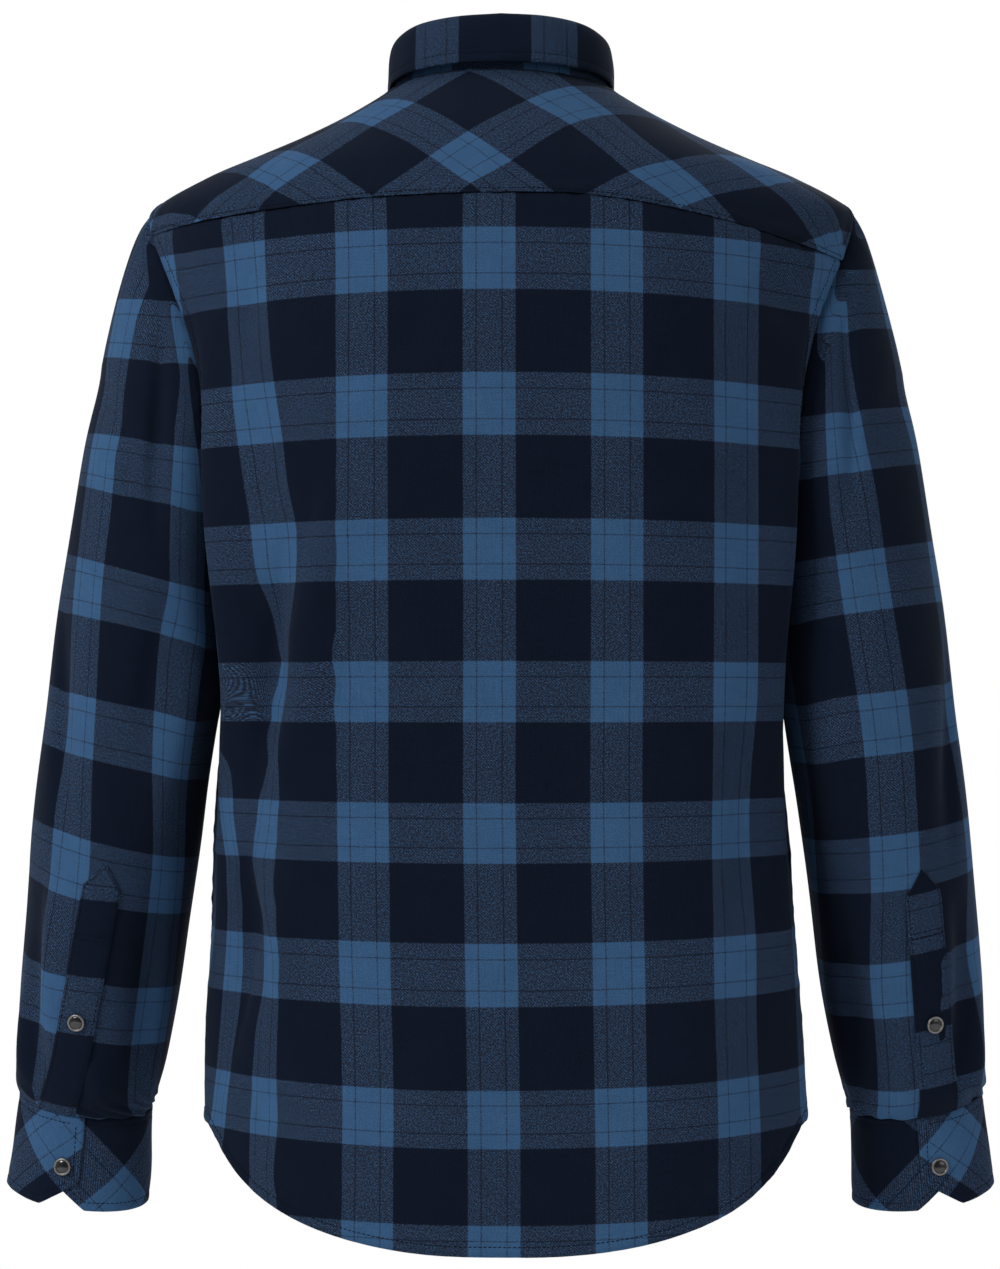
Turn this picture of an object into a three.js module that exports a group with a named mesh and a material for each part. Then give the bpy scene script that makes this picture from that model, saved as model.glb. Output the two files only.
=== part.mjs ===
// Long-sleeved flannel shirt, filled out as it sits on a wearer, with empty hollow sleeves and body.
// Millimetres, +Z up. The wearer faces -Y, so the back of the shirt is on +Y and the wearer's
// left on +X. The origin is the middle of the neck base, at the height where the collar meets
// the shoulders.
import * as THREE from 'three';

// Cloth and seams
const CLOTH = 1.5;
const DOUBLED_CLOTH = 1.8;
const SEAM_GAP = 0.3;
const LAYER_GAP = 0.4;
const HALF_GAP = SEAM_GAP / 2;
const SLEEVE_SEAM_GAP = 0.4;

// Body and hem
const SIDE_HEM_Z = -668;
const BACK_TAIL = 78;
const FRONT_TAIL = 60;
const TAIL_CURVE = 1.29;
const TAIL_START = 0.4;
const TAIL_SOFT = 0.07;
const PINCH_REACH = 58;
const SIDE_SEAM_CURVE = 112;
const SIDE_SEAM_TURN = HALF_GAP / SIDE_SEAM_CURVE;

// Armholes: an egg seen from the side
const ARMHOLE_TOP_Z = -77;
const ARMHOLE_LOW_Z = -312;
const ARMHOLE_BACK = 66;
const ARMHOLE_FRONT = 62;
const ARMHOLE_EGG = 0.1;
const ARMHOLE_MID_Z = (ARMHOLE_TOP_Z + ARMHOLE_LOW_Z) / 2;
const ARMHOLE_HALF_Z = (ARMHOLE_TOP_Z - ARMHOLE_LOW_Z) / 2;

// Neck and collar
const NECK_HALF_WIDTH = 70;
const NECK_BACK = 62;
const NECK_FRONT = 68;
const COLLAR_OPENING_DEG = 8;
const FALL_LIFT = 1.2;
const STAND_TOP_HALF_WIDTH = 64;
const STAND_TOP_BACK = 53;
const STAND_TOP_FRONT = 64;
const STAND_DROP = 0.5;
const STAND_FLARE = 0.15;
const STAND_END_DEG = 7;
const STAND_END_CUT = 0.45;

// Front closing
const PLACKET_WIDTH = 34;
const FRONT_YOKE_DEG = -30;
const ARMHOLE_YOKE_DEG = -36;
const UNDERLAP_DIP = CLOTH + LAYER_GAP + 0.2;
const UNDERLAP_START_X = -PLACKET_WIDTH / 2 - 26;
const UNDERLAP_SLOPE = 22;
const STAND_UNDERLAP_DEG = 240;
const STAND_UNDERLAP_SLOPE_DEG = 14;
const FRONT_SNAP_TOP_Z = -104;
const FRONT_SNAP_PITCH = 92;
const FRONT_SNAP_COUNT = 6;

// Cuffs and sleeve plackets
const CUFF_OVERLAP = 18;
const CUFF_MITRE = 22;
const CUFF_MITRE_RISE = 18;
const CUFF_STEP_SLOPE = 22;
const CUFF_STEP_START = CUFF_OVERLAP + 4;
const SLEEVE_PLACKET_WIDTH = 24.5;
const SLEEVE_PLACKET_POINT = 11;

// Snaps
const SNAP_SIDES = 12;
const SNAP_SEAT = LAYER_GAP;

// Grid steps
const ARMHOLE_BACK_STEPS = 10;
const ARMHOLE_YOKE_STEPS = 6;
const ARMHOLE_FRONT_STEPS = 10;
const SIDE_SEAM_STEPS = 13;
const BACK_STEPS = 26;
const FRONT_SEAM_STEPS = 7;
const FRONT_NECK_STEPS = 6;
const SLEEVE_STEPS = 18;
const FALL_STEPS = 32;
const CUFF_STEPS = 28;
const CUFF_ROWS = 3;
const PLACKET_ROWS = 24;
const PLACKET_COLUMNS = [-1, -0.4, 0.4, 1];
const SLEEVE_PLACKET_ROWS = 12;
const SLEEVE_PLACKET_COLUMNS = [-1, -0.5, 0, 0.5, 1];
const FALL_ROWS = [1, 0.7, 0.42, 0.2, 0.07, 0];
const EVENING_ROUNDS = 60;

function table(names, rows) {
  const keys = names.split(' ');
  return rows.map((row) => Object.fromEntries(keys.map((key, i) => [key, row[i]])));
}

// Body sections: half width, depth behind and before the side line, how square the section is
// behind and before, how far the arm pinches the side in, and a lean to one side.
const BODY = table('z half back front squareBack squareFront pinch lean', [
  [12, 55, 56, 34, 2, 2, 0, 0],
  [8, 62, 62, 38, 2, 2, 0, 0],
  [3, 70, 68.5, 42, 2, 2, 0, 0],
  [-2, 77, 75, 46, 2, 2, 0, 0],
  [-18, 104, 91, 56, 2, 2, 0, 0],
  [-32, 132, 103.5, 63, 2, 2, 0, 0],
  [-45, 162, 112.5, 68.5, 2.05, 2.05, 0, 0],
  [-58, 193, 120, 75, 2.1, 2.1, 0, 0],
  [-77, 226, 128, 84, 2.1, 2.15, 0, 0],
  [-93, 231, 132, 90, 2.15, 2.2, 0, 0],
  [-120, 226, 136, 98, 2.25, 2.4, 0, 0],
  [-160, 214, 138.5, 108, 2.4, 2.6, 0, 0],
  [-200, 205, 138, 115, 2.55, 2.8, 8, 0],
  [-250, 199, 134.5, 119, 2.7, 2.9, 18, 0],
  [-312, 196, 128, 119.5, 2.8, 2.9, 28, 0],
  [-360, 194, 122.5, 118, 2.8, 2.8, 24.5, 0],
  [-410, 192, 118, 116, 2.7, 2.7, 11, 0],
  [-460, 190.5, 115, 114.5, 2.65, 2.7, 4, 0],
  [-520, 191, 114, 113.5, 2.6, 2.6, 1, -0.8],
  [-590, 193, 114.5, 113, 2.6, 2.6, 0, -1.8],
  [-668, 195.5, 116, 113, 2.6, 2.6, 0, -3],
  [-746, 196, 117, 113, 2.6, 2.6, 0, -3.2],
]);

// Body folds: a straight crease from its top to its bottom, by turn from +X through the back.
// A depth above zero is a ridge. The two reaches are its width towards more and less turn.
const BODY_FOLDS = table('top bottom turnTop turnBottom depth reachMore reachLess', [
  [-120, -455, 34, 29, 14, 22, 13],
  [-120, -470, 147, 151, 13, 13, 22],
  [-95, -185, 47, 45, -5, 14, 14],
  [-110, -170, 137, 143, -4, 14, 14],
  [-255, -505, 51, 38, -14, 14, 26],
  [-250, -470, 62, 50, 5, 16, 14],
  [-455, -655, 42, 29, -10, 14, 20],
  [-430, -640, 54, 42, 4, 16, 14],
  [-400, -560, 137, 138, -6, 16, 14],
  [-520, -700, 118, 127, 6, 20, 20],
  [-545, -720, 80, 76, 5, 26, 26],
  [-250, -600, 101, 104, -3, 24, 24],
  [-150, -420, -36, -42, 9, 18, 20],
  [-150, -430, -144, -137, 9, 20, 18],
  [-260, -500, -52, -38, -9, 20, 14],
  [-280, -540, -128, -143, -9, 14, 20],
  [-440, -665, -60, -66, 6, 22, 22],
  [-430, -660, -121, -114, 6, 22, 22],
  [-330, -600, 8, 12, -6, 16, 16],
  [-350, -620, 173, 168, -6, 16, 16],
]);

// Sleeve rings: outer and inner (underarm) point, middle and depths in Y, egg shape, and how
// much lower the back of the ring lies than its front.
const SLEEVE = table('step outX outZ inX inZ midY back front egg dip', [
  [0, 226, -77, 168, -312, 0, 66, 62, 0.1, 0],
  [1, 236, -92, 171.5, -316.5, 0, 69, 65, 0.09, 0],
  [2, 246, -120, 174, -325, 0, 71, 67, 0.07, 0],
  [3, 257, -161, 176, -340, 0, 71, 67, 0.05, 0],
  [4, 267.5, -209, 178.5, -361, 0, 70.5, 67, 0.03, 0],
  [5, 278, -268, 181, -388, -1, 69, 66, 0.02, 0],
  [6, 288, -331, 186.5, -420, -5, 67.5, 65, 0, 1],
  [7, 297.5, -399, 193, -457, -11, 65.5, 63, 0, 3],
  [8, 306, -463, 198.5, -495, -17, 63, 61, 0, 5],
  [9, 312.5, -520, 205, -540, -24, 60, 58, 0, 7],
  [10, 317, -575, 212, -589, -30.5, 57, 55, 0, 8],
  [11, 319.5, -619, 220, -632, -35.5, 53, 51, 0, 9],
  [12, 320.5, -643, 226.5, -655, -37.5, 47, 45, 0, 9],
  [13, 318.5, -654.4, 230.5, -666.3, -38, 38, 36, 0, 9],
]);
const LAST_RING = 13;
const ARMHOLE_SETTLE = 5;

// Sleeve folds: from one ring step to another, by angle from the outer line through the back.
// Side 1 is the wearer's left sleeve, -1 the right one.
const SLEEVE_FOLDS = table('side from to turnFrom turnTo depth reachMore reachLess', [
  [1, 0.6, 4.6, 62, 96, -6, 14, 14],
  [1, 3.5, 8.5, 150, 118, 6, 18, 16],
  [1, 5.6, 8.6, 20, 64, -6, 16, 10],
  [1, 8, 12.6, 126, 142, -6, 14, 18],
  [1, 9.4, 12.8, 24, 38, 5, 12, 12],
  [1, 2.5, 8, -70, -110, -7, 18, 14],
  [1, 6.5, 11.5, -60, -30, 6, 16, 18],
  [-1, 0.6, 4.2, 56, 88, -6, 14, 14],
  [-1, 3.2, 8.8, 146, 122, 6, 18, 16],
  [-1, 6, 9, 16, 54, -6, 16, 10],
  [-1, 7.6, 12.6, 132, 146, -7, 14, 18],
  [-1, 9.6, 12.8, 28, 42, 5, 12, 12],
  [-1, 2.5, 8, -74, -104, -7, 18, 14],
  [-1, 6.5, 11.5, -64, -34, 6, 16, 18],
]);

// Seam of the yoke across the back: place across (1 at the wearer's left armhole) and height.
const YOKE_SEAM = table('across z', [
  [1, -97],
  [0.83, -92],
  [0.62, -87],
  [0.33, -81.5],
  [0, -79.3],
  [-0.27, -81],
  [-0.58, -91.5],
  [-0.87, -107],
  [-1, -114],
]);

// Collar by angle round the neck (90 behind, -90 before): top of the stand, then edge of the fall.
const COLLAR = table('deg topX topY topZ edgeX edgeY edgeZ', [
  [90, 0, 53, 41, 0, 69.5, 9.5],
  [65, 27.5, 48, 40, 31, 64, 9],
  [40, 49, 35, 37.5, 56, 47, 6.5],
  [18, 60, 18, 33.5, 68.5, 23, 3.5],
  [0, 64, 0, 28.5, 71.8, -2, 1.8],
  [-25, 59, -26, 18, 73.5, -34, -8],
  [-50, 40, -48, 5, 70, -64, -34],
  [-70, 21, -59.5, -4, 60, -86, -63],
  [-82, 8, -63.5, -8, 46, -104, -96],
]);
const LAST_COLLAR_DEG = -82;
const FALL_ROLL = 9.5;
const FALL_RISE = 4;

// Cuff sections from the top seam down.
const CUFF = table('z midX halfX midY halfY', [
  [-660.5, 274.5, 44, -38, 36.5],
  [-691, 277, 45.4, -41, 37.5],
  [-721, 280, 47, -44, 38.5],
]);
const CUFF_DIP = 9;
const CUFF_TILT = 0.135;

// Snap placket of each sleeve: its turn and ring step at the top and bottom, and its snap.
const SLEEVE_PLACKETS = table('side turnTop stepTop turnBottom stepBottom snapStep', [
  [1, 91, 8.35, 68, 12.95, 10.35],
  [-1, 74, 8.5, 76, 12.95, 10.4],
]);
const CUFF_SNAP_DEG = 79;
const CUFF_SNAP_DOWN = 0.56;
const CUFF_FLAP_END_DEG = 93;

// Snap profiles turned round the snap's middle: radius and height over the cloth.
const SNAP_RIM = table('radius height', [
  [4.3, 0],
  [5.3, 0],
  [5.7, 0.9],
  [5, 2.6],
  [4.3, 2],
  [4.3, 0],
]);
const SNAP_CAP = table('radius height', [
  [0, 0],
  [4, 0],
  [4, 1.5],
  [2.5, 2],
  [0, 2.15],
]);

const NAVY = new THREE.Color(0x1c2a42);
const MID_BLUE = new THREE.Color(0x2b4364);
const PEWTER = new THREE.Color(0x6d6f73);
const GLOSS_BLACK = new THREE.Color(0x101114);
const flannel = (color) => new THREE.MeshStandardMaterial({ color, roughness: 0.95, metalness: 0 });
const metal = (color, roughness) => new THREE.MeshStandardMaterial({ color, roughness, metalness: 0.9 });

const radians = THREE.MathUtils.degToRad;
const clamp = THREE.MathUtils.clamp;
const range = (count) => Array.from({ length: count + 1 }, (_, i) => i / count);

// A row of a table at any value of its first column, on a smooth curve through the rows.
function rowAt(rows, key, value) {
  const last = rows.length - 1;
  const falling = rows[last][key] < rows[0][key];
  let i = 0;
  while (i < last - 1 && (falling ? value < rows[i + 1][key] : value > rows[i + 1][key])) i += 1;
  const [a, b] = [rows[i], rows[i + 1]];
  const [before, after] = [rows[Math.max(i - 1, 0)], rows[Math.min(i + 2, last)]];
  const span = b[key] - a[key];
  const t = clamp((value - a[key]) / span, 0, 1);
  const row = {};
  for (const name of Object.keys(a)) {
    const slopeA = ((b[name] - before[name]) / (b[key] - before[key])) * span;
    const slopeB = ((after[name] - a[name]) / (after[key] - a[key])) * span;
    const bend = a[name] - b[name];
    const cubic = 2 * bend + slopeA + slopeB;
    row[name] = a[name] + t * (slopeA + t * (-bend - slopeA - cubic + t * cubic));
  }
  return row;
}

function smooth(t) {
  const s = clamp(t, 0, 1);
  return s * s * (3 - 2 * s);
}

function angleBetween(a, b) {
  const turn = a - b;
  return Math.atan2(Math.sin(turn), Math.cos(turn));
}

// Height of one fold at a distance across it and a share of its length.
function foldHeight(fold, share, across) {
  if (share <= 0 || share >= 1) return 0;
  const reach = across > 0 ? fold.reachMore : fold.reachLess;
  return fold.depth * Math.sin(Math.PI * share) ** 1.5 * Math.exp(-((across / reach) ** 2));
}

function section(z, behind) {
  const row = rowAt(BODY, 'z', z);
  const [depth, square] = behind ? [row.back, row.squareBack] : [row.front, row.squareFront];
  return { ...row, depth, square };
}

// Point of the body's outer surface at a turn round it and a height.
function bodyPoint(turn, z) {
  const { half, depth, square, pinch, lean } = section(z, Math.sin(turn) >= 0);
  const [c, s] = [Math.cos(turn), Math.sin(turn)];
  const grow = (Math.abs(c) ** square + Math.abs(s) ** square) ** (-1 / square);
  const [x, y] = [half * c * grow, depth * s * grow];
  const speed = Math.hypot(half * s, depth * c);
  let out = 0;
  for (const fold of BODY_FOLDS) {
    const share = (fold.top - z) / (fold.top - fold.bottom);
    const line = radians(fold.turnTop + (fold.turnBottom - fold.turnTop) * share);
    out += foldHeight(fold, share, angleBetween(turn, line) * speed);
  }
  const aside = new THREE.Vector2(Math.sign(c) * Math.abs(c * grow) ** (square - 1) / half,
    Math.sign(s) * Math.abs(s * grow) ** (square - 1) / depth).normalize();
  const nip = pinch * Math.exp(-((y / PINCH_REACH) ** 2)) * Math.sign(c);
  return new THREE.Vector3(x - nip + lean + aside.x * out, y + aside.y * out, z);
}

// Turn of the section at a height where it is at one X or one Y, and height above one place.
function turnAtX(x, z, behind) {
  const { half, square } = section(z, behind);
  const p = clamp(x / half, -1, 1);
  const q = (1 - Math.abs(p) ** square) ** (1 / square);
  return Math.atan2(behind ? q : -q, p);
}

function turnAtY(y, z, side) {
  const { depth, square } = section(z, y >= 0);
  const q = clamp(y / depth, -1, 1);
  const p = (1 - Math.abs(q) ** square) ** (1 / square);
  return Math.atan2(q, side * p);
}

function spotAbove(x, y) {
  let [low, high] = [ARMHOLE_TOP_Z, BODY[0].z];
  for (let i = 0; i < 40; i += 1) {
    const z = (low + high) / 2;
    const { half, depth, square } = section(z, y >= 0);
    if (Math.abs(x / half) ** square + Math.abs(y / depth) ** square < 1) low = z;
    else high = z;
  }
  const { half, depth } = section(low, y >= 0);
  return { turn: Math.atan2(y / depth, x / half), z: low };
}

// Turns behind the -X side are counted on past 180 degrees, so that a seam never jumps.
function onward(spot) {
  return { turn: spot.turn < -Math.PI / 2 ? spot.turn + 2 * Math.PI : spot.turn, z: spot.z };
}

// Armhole seam at an angle from its top (0) backwards to the underarm (180 degrees).
function armholeYZ(phi, grow) {
  const reach = (phi >= 0 ? ARMHOLE_BACK : ARMHOLE_FRONT) + grow;
  const y = reach * Math.sin(phi) * (1 - ARMHOLE_EGG * Math.cos(phi));
  return { y, z: ARMHOLE_MID_Z + (ARMHOLE_HALF_Z + grow) * Math.cos(phi) };
}

function armholeSpot(side, phi, grow) {
  const { y, z } = armholeYZ(phi, grow);
  const kept = phi >= 0 ? Math.max(y, HALF_GAP) : Math.min(y, -HALF_GAP);
  return { turn: turnAtY(kept, z, side), z };
}

function yokeCornerPhi(side) {
  const { z } = YOKE_SEAM[side > 0 ? 0 : YOKE_SEAM.length - 1];
  return Math.acos((z - ARMHOLE_MID_Z) / ARMHOLE_HALF_Z);
}

// Angles of the armhole's grid lines, from the underarm over the back, top and front.
function armholeAngles(side) {
  const corner = yokeCornerPhi(side);
  const front = radians(ARMHOLE_YOKE_DEG);
  const back = range(ARMHOLE_BACK_STEPS).map((t) => Math.PI + (corner - Math.PI) * t);
  const yoke = range(ARMHOLE_YOKE_STEPS).map((t) => corner + (front - corner) * t);
  const ahead = range(ARMHOLE_FRONT_STEPS).map((t) => front + (-Math.PI - front) * t);
  return { back, yoke, ahead };
}

function neckSpot(deg, grow) {
  const [c, s] = [Math.cos(radians(deg)), Math.sin(radians(deg))];
  return spotAbove((NECK_HALF_WIDTH + grow) * c, ((s > 0 ? NECK_BACK : NECK_FRONT) + grow) * s);
}

// Degrees round the neck of the grid lines on one front, from the yoke to the front edge, and
// of those on the yoke. The collar stand shares them.
const FRONT_EDGE_DEG = -90 - THREE.MathUtils.radToDeg(Math.asin(PLACKET_WIDTH / 2 / NECK_HALF_WIDTH));
const YOKE_STEPS = BACK_STEPS + 2 * ARMHOLE_YOKE_STEPS;
const frontNeckSpan = FRONT_EDGE_DEG - FRONT_YOKE_DEG;
const frontNeckDegrees = range(FRONT_NECK_STEPS).map((t) => FRONT_YOKE_DEG + frontNeckSpan * t);
const yokeNeckDegrees = range(YOKE_STEPS).map((t) => FRONT_YOKE_DEG + (180 - 2 * FRONT_YOKE_DEG) * t);

function backSeamSpot(t, rise) {
  const ends = [1, -1].map((side) => {
    const { turn, z } = armholeSpot(side, yokeCornerPhi(side), HALF_GAP);
    return bodyPoint(turn, z).x;
  });
  const across = 1 - 2 * t;
  const x = across > 0 ? ends[0] * across : -ends[1] * across;
  const { z } = rowAt(YOKE_SEAM, 'across', across);
  return { turn: turnAtX(x, z, true), z: z + rise };
}

// Front yoke seam, from the armhole (0) to the neck (1), nearly level with the side line.
function frontSeamSpot(side, t, shift) {
  const hole = armholeYZ(radians(ARMHOLE_YOKE_DEG), HALF_GAP);
  const neckDeg = side > 0 ? FRONT_YOKE_DEG : 180 - FRONT_YOKE_DEG;
  const neckY = (NECK_FRONT + HALF_GAP) * Math.sin(radians(neckDeg));
  const z = hole.z + (neckSpot(neckDeg, HALF_GAP).z - hole.z) * t;
  return { turn: turnAtY(hole.y + (neckY - hole.y) * t + shift, z, side), z };
}

function hemZ(turn) {
  const s = Math.sin(turn);
  const past = Math.abs(s) - TAIL_START;
  const share = (past + Math.hypot(past, TAIL_SOFT)) / (2 * (1 - TAIL_START));
  return SIDE_HEM_Z - (s > 0 ? BACK_TAIL : FRONT_TAIL) * (1 - Math.max(0, 1 - share) ** TAIL_CURVE);
}

// Rows of spots that fill the area between four rows of border spots, evened out inside.
function fill(bottom, top, left, right) {
  const mix = (a, b, t) => a + (b - a) * t;
  const [nu, nv] = [bottom.length - 1, left.length - 1];
  const keys = ['turn', 'z'];
  const spots = left.map((_, j) => bottom.map((__, i) => {
    const [u, v] = [i / nu, j / nv];
    const spot = {};
    for (const key of keys) {
      const corners = mix(mix(bottom[0][key], bottom[nu][key], u), mix(top[0][key], top[nu][key], u), v);
      spot[key] = mix(bottom[i][key], top[i][key], v) + mix(left[j][key], right[j][key], u) - corners;
    }
    return spot;
  }));
  for (let round = 0; round < EVENING_ROUNDS; round += 1) {
    for (let j = 1; j < nv; j += 1) {
      for (let i = 1; i < nu; i += 1) {
        const around = [spots[j - 1][i], spots[j + 1][i], spots[j][i - 1], spots[j][i + 1]];
        for (const key of keys) spots[j][i][key] = around.reduce((sum, spot) => sum + spot[key], 0) / 4;
      }
    }
  }
  return spots;
}

function normalAt(surface, u, v, du, dv) {
  const alongU = surface(u + du, v).sub(surface(u - du, v));
  const alongV = surface(u, v + dv).sub(surface(u, v - dv));
  return alongU.cross(alongV).normalize();
}

const bodyNormal = (turn, z) => normalAt(bodyPoint, turn, z, 0.004, 0.5);

// Outer and inner point of a cloth layer over the body, moved out by a lift.
function bodyLayer({ turn, z }, lift = 0) {
  const normal = bodyNormal(turn, z);
  const point = bodyPoint(turn, z);
  return [point.clone().addScaledVector(normal, lift), point.addScaledVector(normal, lift - CLOTH)];
}

// Closed wall through rows of [outer, inner] points. Rows run with the outer side on their left.
function wallGeometry(rows, isTube) {
  const [nv, nu] = [rows.length, rows[0].length];
  const positions = [];
  const faces = [];
  rows.forEach((row) => row.forEach((pair) => pair.forEach((p) => positions.push(p.x, p.y, p.z))));
  const at = (j, i, layer) => 2 * (j * nu + (i % nu)) + layer;
  const quad = (a, b, c, d) => faces.push(a, b, c, a, c, d);
  const columns = isTube ? nu : nu - 1;
  for (let j = 0; j < nv - 1; j += 1) {
    for (let i = 0; i < columns; i += 1) {
      quad(at(j, i, 0), at(j, i + 1, 0), at(j + 1, i + 1, 0), at(j + 1, i, 0));
      quad(at(j, i, 1), at(j + 1, i, 1), at(j + 1, i + 1, 1), at(j, i + 1, 1));
    }
  }
  for (let i = 0; i < columns; i += 1) {
    quad(at(0, i, 0), at(0, i, 1), at(0, i + 1, 1), at(0, i + 1, 0));
    quad(at(nv - 1, i, 0), at(nv - 1, i + 1, 0), at(nv - 1, i + 1, 1), at(nv - 1, i, 1));
  }
  for (let j = 0; j < nv - 1 && !isTube; j += 1) {
    quad(at(j, 0, 0), at(j + 1, 0, 0), at(j + 1, 0, 1), at(j, 0, 1));
    quad(at(j, nu - 1, 0), at(j, nu - 1, 1), at(j + 1, nu - 1, 1), at(j + 1, nu - 1, 0));
  }
  const geometry = new THREE.BufferGeometry();
  geometry.setAttribute('position', new THREE.Float32BufferAttribute(positions, 3));
  geometry.setIndex(faces);
  geometry.computeVertexNormals();
  return geometry;
}

const panelGeometry = (spots) => wallGeometry(spots.map((row) => row.map((spot) => bodyLayer(spot))));

function named(name, geometry, material) {
  const mesh = new THREE.Mesh(geometry, material);
  mesh.name = name;
  return mesh;
}

function makeBack() {
  const seamTurns = { 1: SIDE_SEAM_TURN, '-1': Math.PI - SIDE_SEAM_TURN };
  const edge = (side) => {
    const hem = { turn: seamTurns[side], z: SIDE_HEM_Z };
    const low = armholeSpot(side, Math.PI, HALF_GAP);
    const seam = range(SIDE_SEAM_STEPS).map((t) => ({ turn: hem.turn, z: hem.z + (low.z - hem.z) * t }));
    const hole = armholeAngles(side).back.slice(1).map((phi) => armholeSpot(side, phi, HALF_GAP));
    return seam.concat(hole);
  };
  const [left, right] = [edge(1), edge(-1)];
  const bottom = range(BACK_STEPS).map((t) => {
    const turn = seamTurns[1] + (seamTurns[-1] - seamTurns[1]) * t;
    return { turn, z: hemZ(turn) };
  });
  const top = range(BACK_STEPS).map((t) => backSeamSpot(t, -HALF_GAP));
  left[left.length - 1] = top[0];
  right[right.length - 1] = top.at(-1);
  const spots = fill(bottom, top, left, right);
  return named('back', panelGeometry(spots), flannel(NAVY));
}

function makeYoke() {
  const around = (side) => armholeAngles(side).yoke.map((phi) => onward(armholeSpot(side, phi, HALF_GAP)));
  const outer = [
    ...around(1).reverse().slice(0, -1),
    ...range(BACK_STEPS).map((t) => onward(backSeamSpot(t, HALF_GAP))),
    ...around(-1).slice(1),
  ];
  const inner = yokeNeckDegrees.map((deg) => onward(neckSpot(deg, HALF_GAP)));
  const end = (side) => range(FRONT_SEAM_STEPS).map((t) => onward(frontSeamSpot(side, t, HALF_GAP)));
  outer[0] = end(1)[0];
  outer[outer.length - 1] = end(-1)[0];
  inner[0] = end(1).at(-1);
  inner[inner.length - 1] = end(-1).at(-1);
  const spots = fill(outer, inner, end(1), end(-1));
  return named('yoke', panelGeometry(spots), flannel(MID_BLUE));
}

// One front, from its side seam and armhole to its edge past the middle of the chest.
function makeFront(side) {
  const over = side > 0;
  const edgeX = -side * PLACKET_WIDTH / 2;
  const sideTurn = over ? -SIDE_SEAM_TURN : -Math.PI + SIDE_SEAM_TURN;
  const low = armholeSpot(side, -Math.PI, HALF_GAP);
  const rise = low.z - SIDE_HEM_Z;
  const seam = range(SIDE_SEAM_STEPS).map((t) => ({ turn: sideTurn, z: SIDE_HEM_Z + rise * t }));
  const hole = armholeAngles(side).ahead.slice(0, -1).reverse();
  const sideEdge = seam.concat(hole.map((phi) => armholeSpot(side, phi, HALF_GAP)));
  const neckArc = frontNeckDegrees.slice(1).map((deg) => neckSpot(over ? deg : -180 - deg, HALF_GAP));
  const top = range(FRONT_SEAM_STEPS).map((t) => frontSeamSpot(side, t, -HALF_GAP)).concat(neckArc);
  const bottom = top.map((_, i) => {
    const reach = turnAtX(edgeX, SIDE_HEM_Z - FRONT_TAIL, false);
    const turn = sideTurn + (reach - sideTurn) * (i / (top.length - 1));
    return { turn, z: hemZ(turn) };
  });
  sideEdge[sideEdge.length - 1] = top[0];
  const [edgeLow, edgeHigh] = [bottom.at(-1), top.at(-1)];
  const middle = sideEdge.map((_, j) => {
    const z = edgeLow.z + (edgeHigh.z - edgeLow.z) * (j / (sideEdge.length - 1));
    return { turn: turnAtX(edgeX, z, false), z };
  });
  middle[middle.length - 1] = edgeHigh;
  const spots = fill(bottom, top, sideEdge, middle);
  const layers = spots.map((row) => row.map((spot) => {
    const x = bodyPoint(spot.turn, spot.z).x;
    const dip = over ? 0 : UNDERLAP_DIP * smooth((x - UNDERLAP_START_X) / UNDERLAP_SLOPE);
    return bodyLayer(spot, -dip);
  }));
  if (over) layers.forEach((row) => row.reverse());
  return named(over ? 'front_left' : 'front_right', wallGeometry(layers), flannel(NAVY));
}

function makeFrontPlacket() {
  const rows = range(PLACKET_ROWS).map((v) => PLACKET_COLUMNS.map((across) => {
    const x = (across * PLACKET_WIDTH) / 2;
    const top = spotAbove(x, -NECK_FRONT).z - SEAM_GAP;
    const low = hemZ(turnAtX(x, SIDE_HEM_Z - FRONT_TAIL, false));
    const z = low + (top - low) * v;
    return bodyLayer({ turn: turnAtX(x, z, false), z }, LAYER_GAP + CLOTH);
  }));
  return named('front_placket', wallGeometry(rows), flannel(NAVY));
}

// Collar rows are kept for one half and mirrored; an angle past the ends stays at the end row.
function collarAt(deg) {
  const folded = deg > 90 ? 180 - deg : deg;
  const mirror = deg > 90 ? -1 : 1;
  return { row: rowAt(COLLAR, 'deg', Math.max(folded, LAST_COLLAR_DEG)), mirror };
}

// Point of the stand, from the neck seam (0) to its top (1).
function standPoint(deg, t) {
  const spot = neckSpot(deg, 0);
  const base = bodyPoint(spot.turn, spot.z).setZ(spot.z + SEAM_GAP);
  const [c, s] = [Math.cos(radians(deg)), Math.sin(radians(deg))];
  const { row } = collarAt(deg);
  const depth = s > 0 ? STAND_TOP_BACK : STAND_TOP_FRONT;
  const top = new THREE.Vector3(STAND_TOP_HALF_WIDTH * c, depth * s, row.topZ - STAND_DROP);
  return base.lerp(top, t);
}

function standNormal(deg) {
  return new THREE.Vector3(Math.cos(radians(deg)), Math.sin(radians(deg)), STAND_FLARE).normalize();
}

function makeStand() {
  const frontTurns = frontNeckDegrees.slice(1);
  const turns = [...frontTurns.toReversed(), ...yokeNeckDegrees, ...frontTurns.map((deg) => 180 - deg)];
  const [start, end] = [turns[0], turns.at(-1)];
  const rows = range(2).map((v) => turns.map((deg) => {
    const rounded = Math.max(0, 1 - Math.min(deg - start, end - deg) / STAND_END_DEG);
    const t = v * (1 - STAND_END_CUT * rounded ** 2);
    const normal = standNormal(deg);
    const dip = UNDERLAP_DIP * smooth((deg - STAND_UNDERLAP_DEG) / STAND_UNDERLAP_SLOPE_DEG);
    const outer = standPoint(deg, t).addScaledVector(normal, -dip);
    return [outer, outer.clone().addScaledVector(normal, -CLOTH)];
  }));
  return named('collar_stand', wallGeometry(rows), flannel(MID_BLUE));
}

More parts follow.
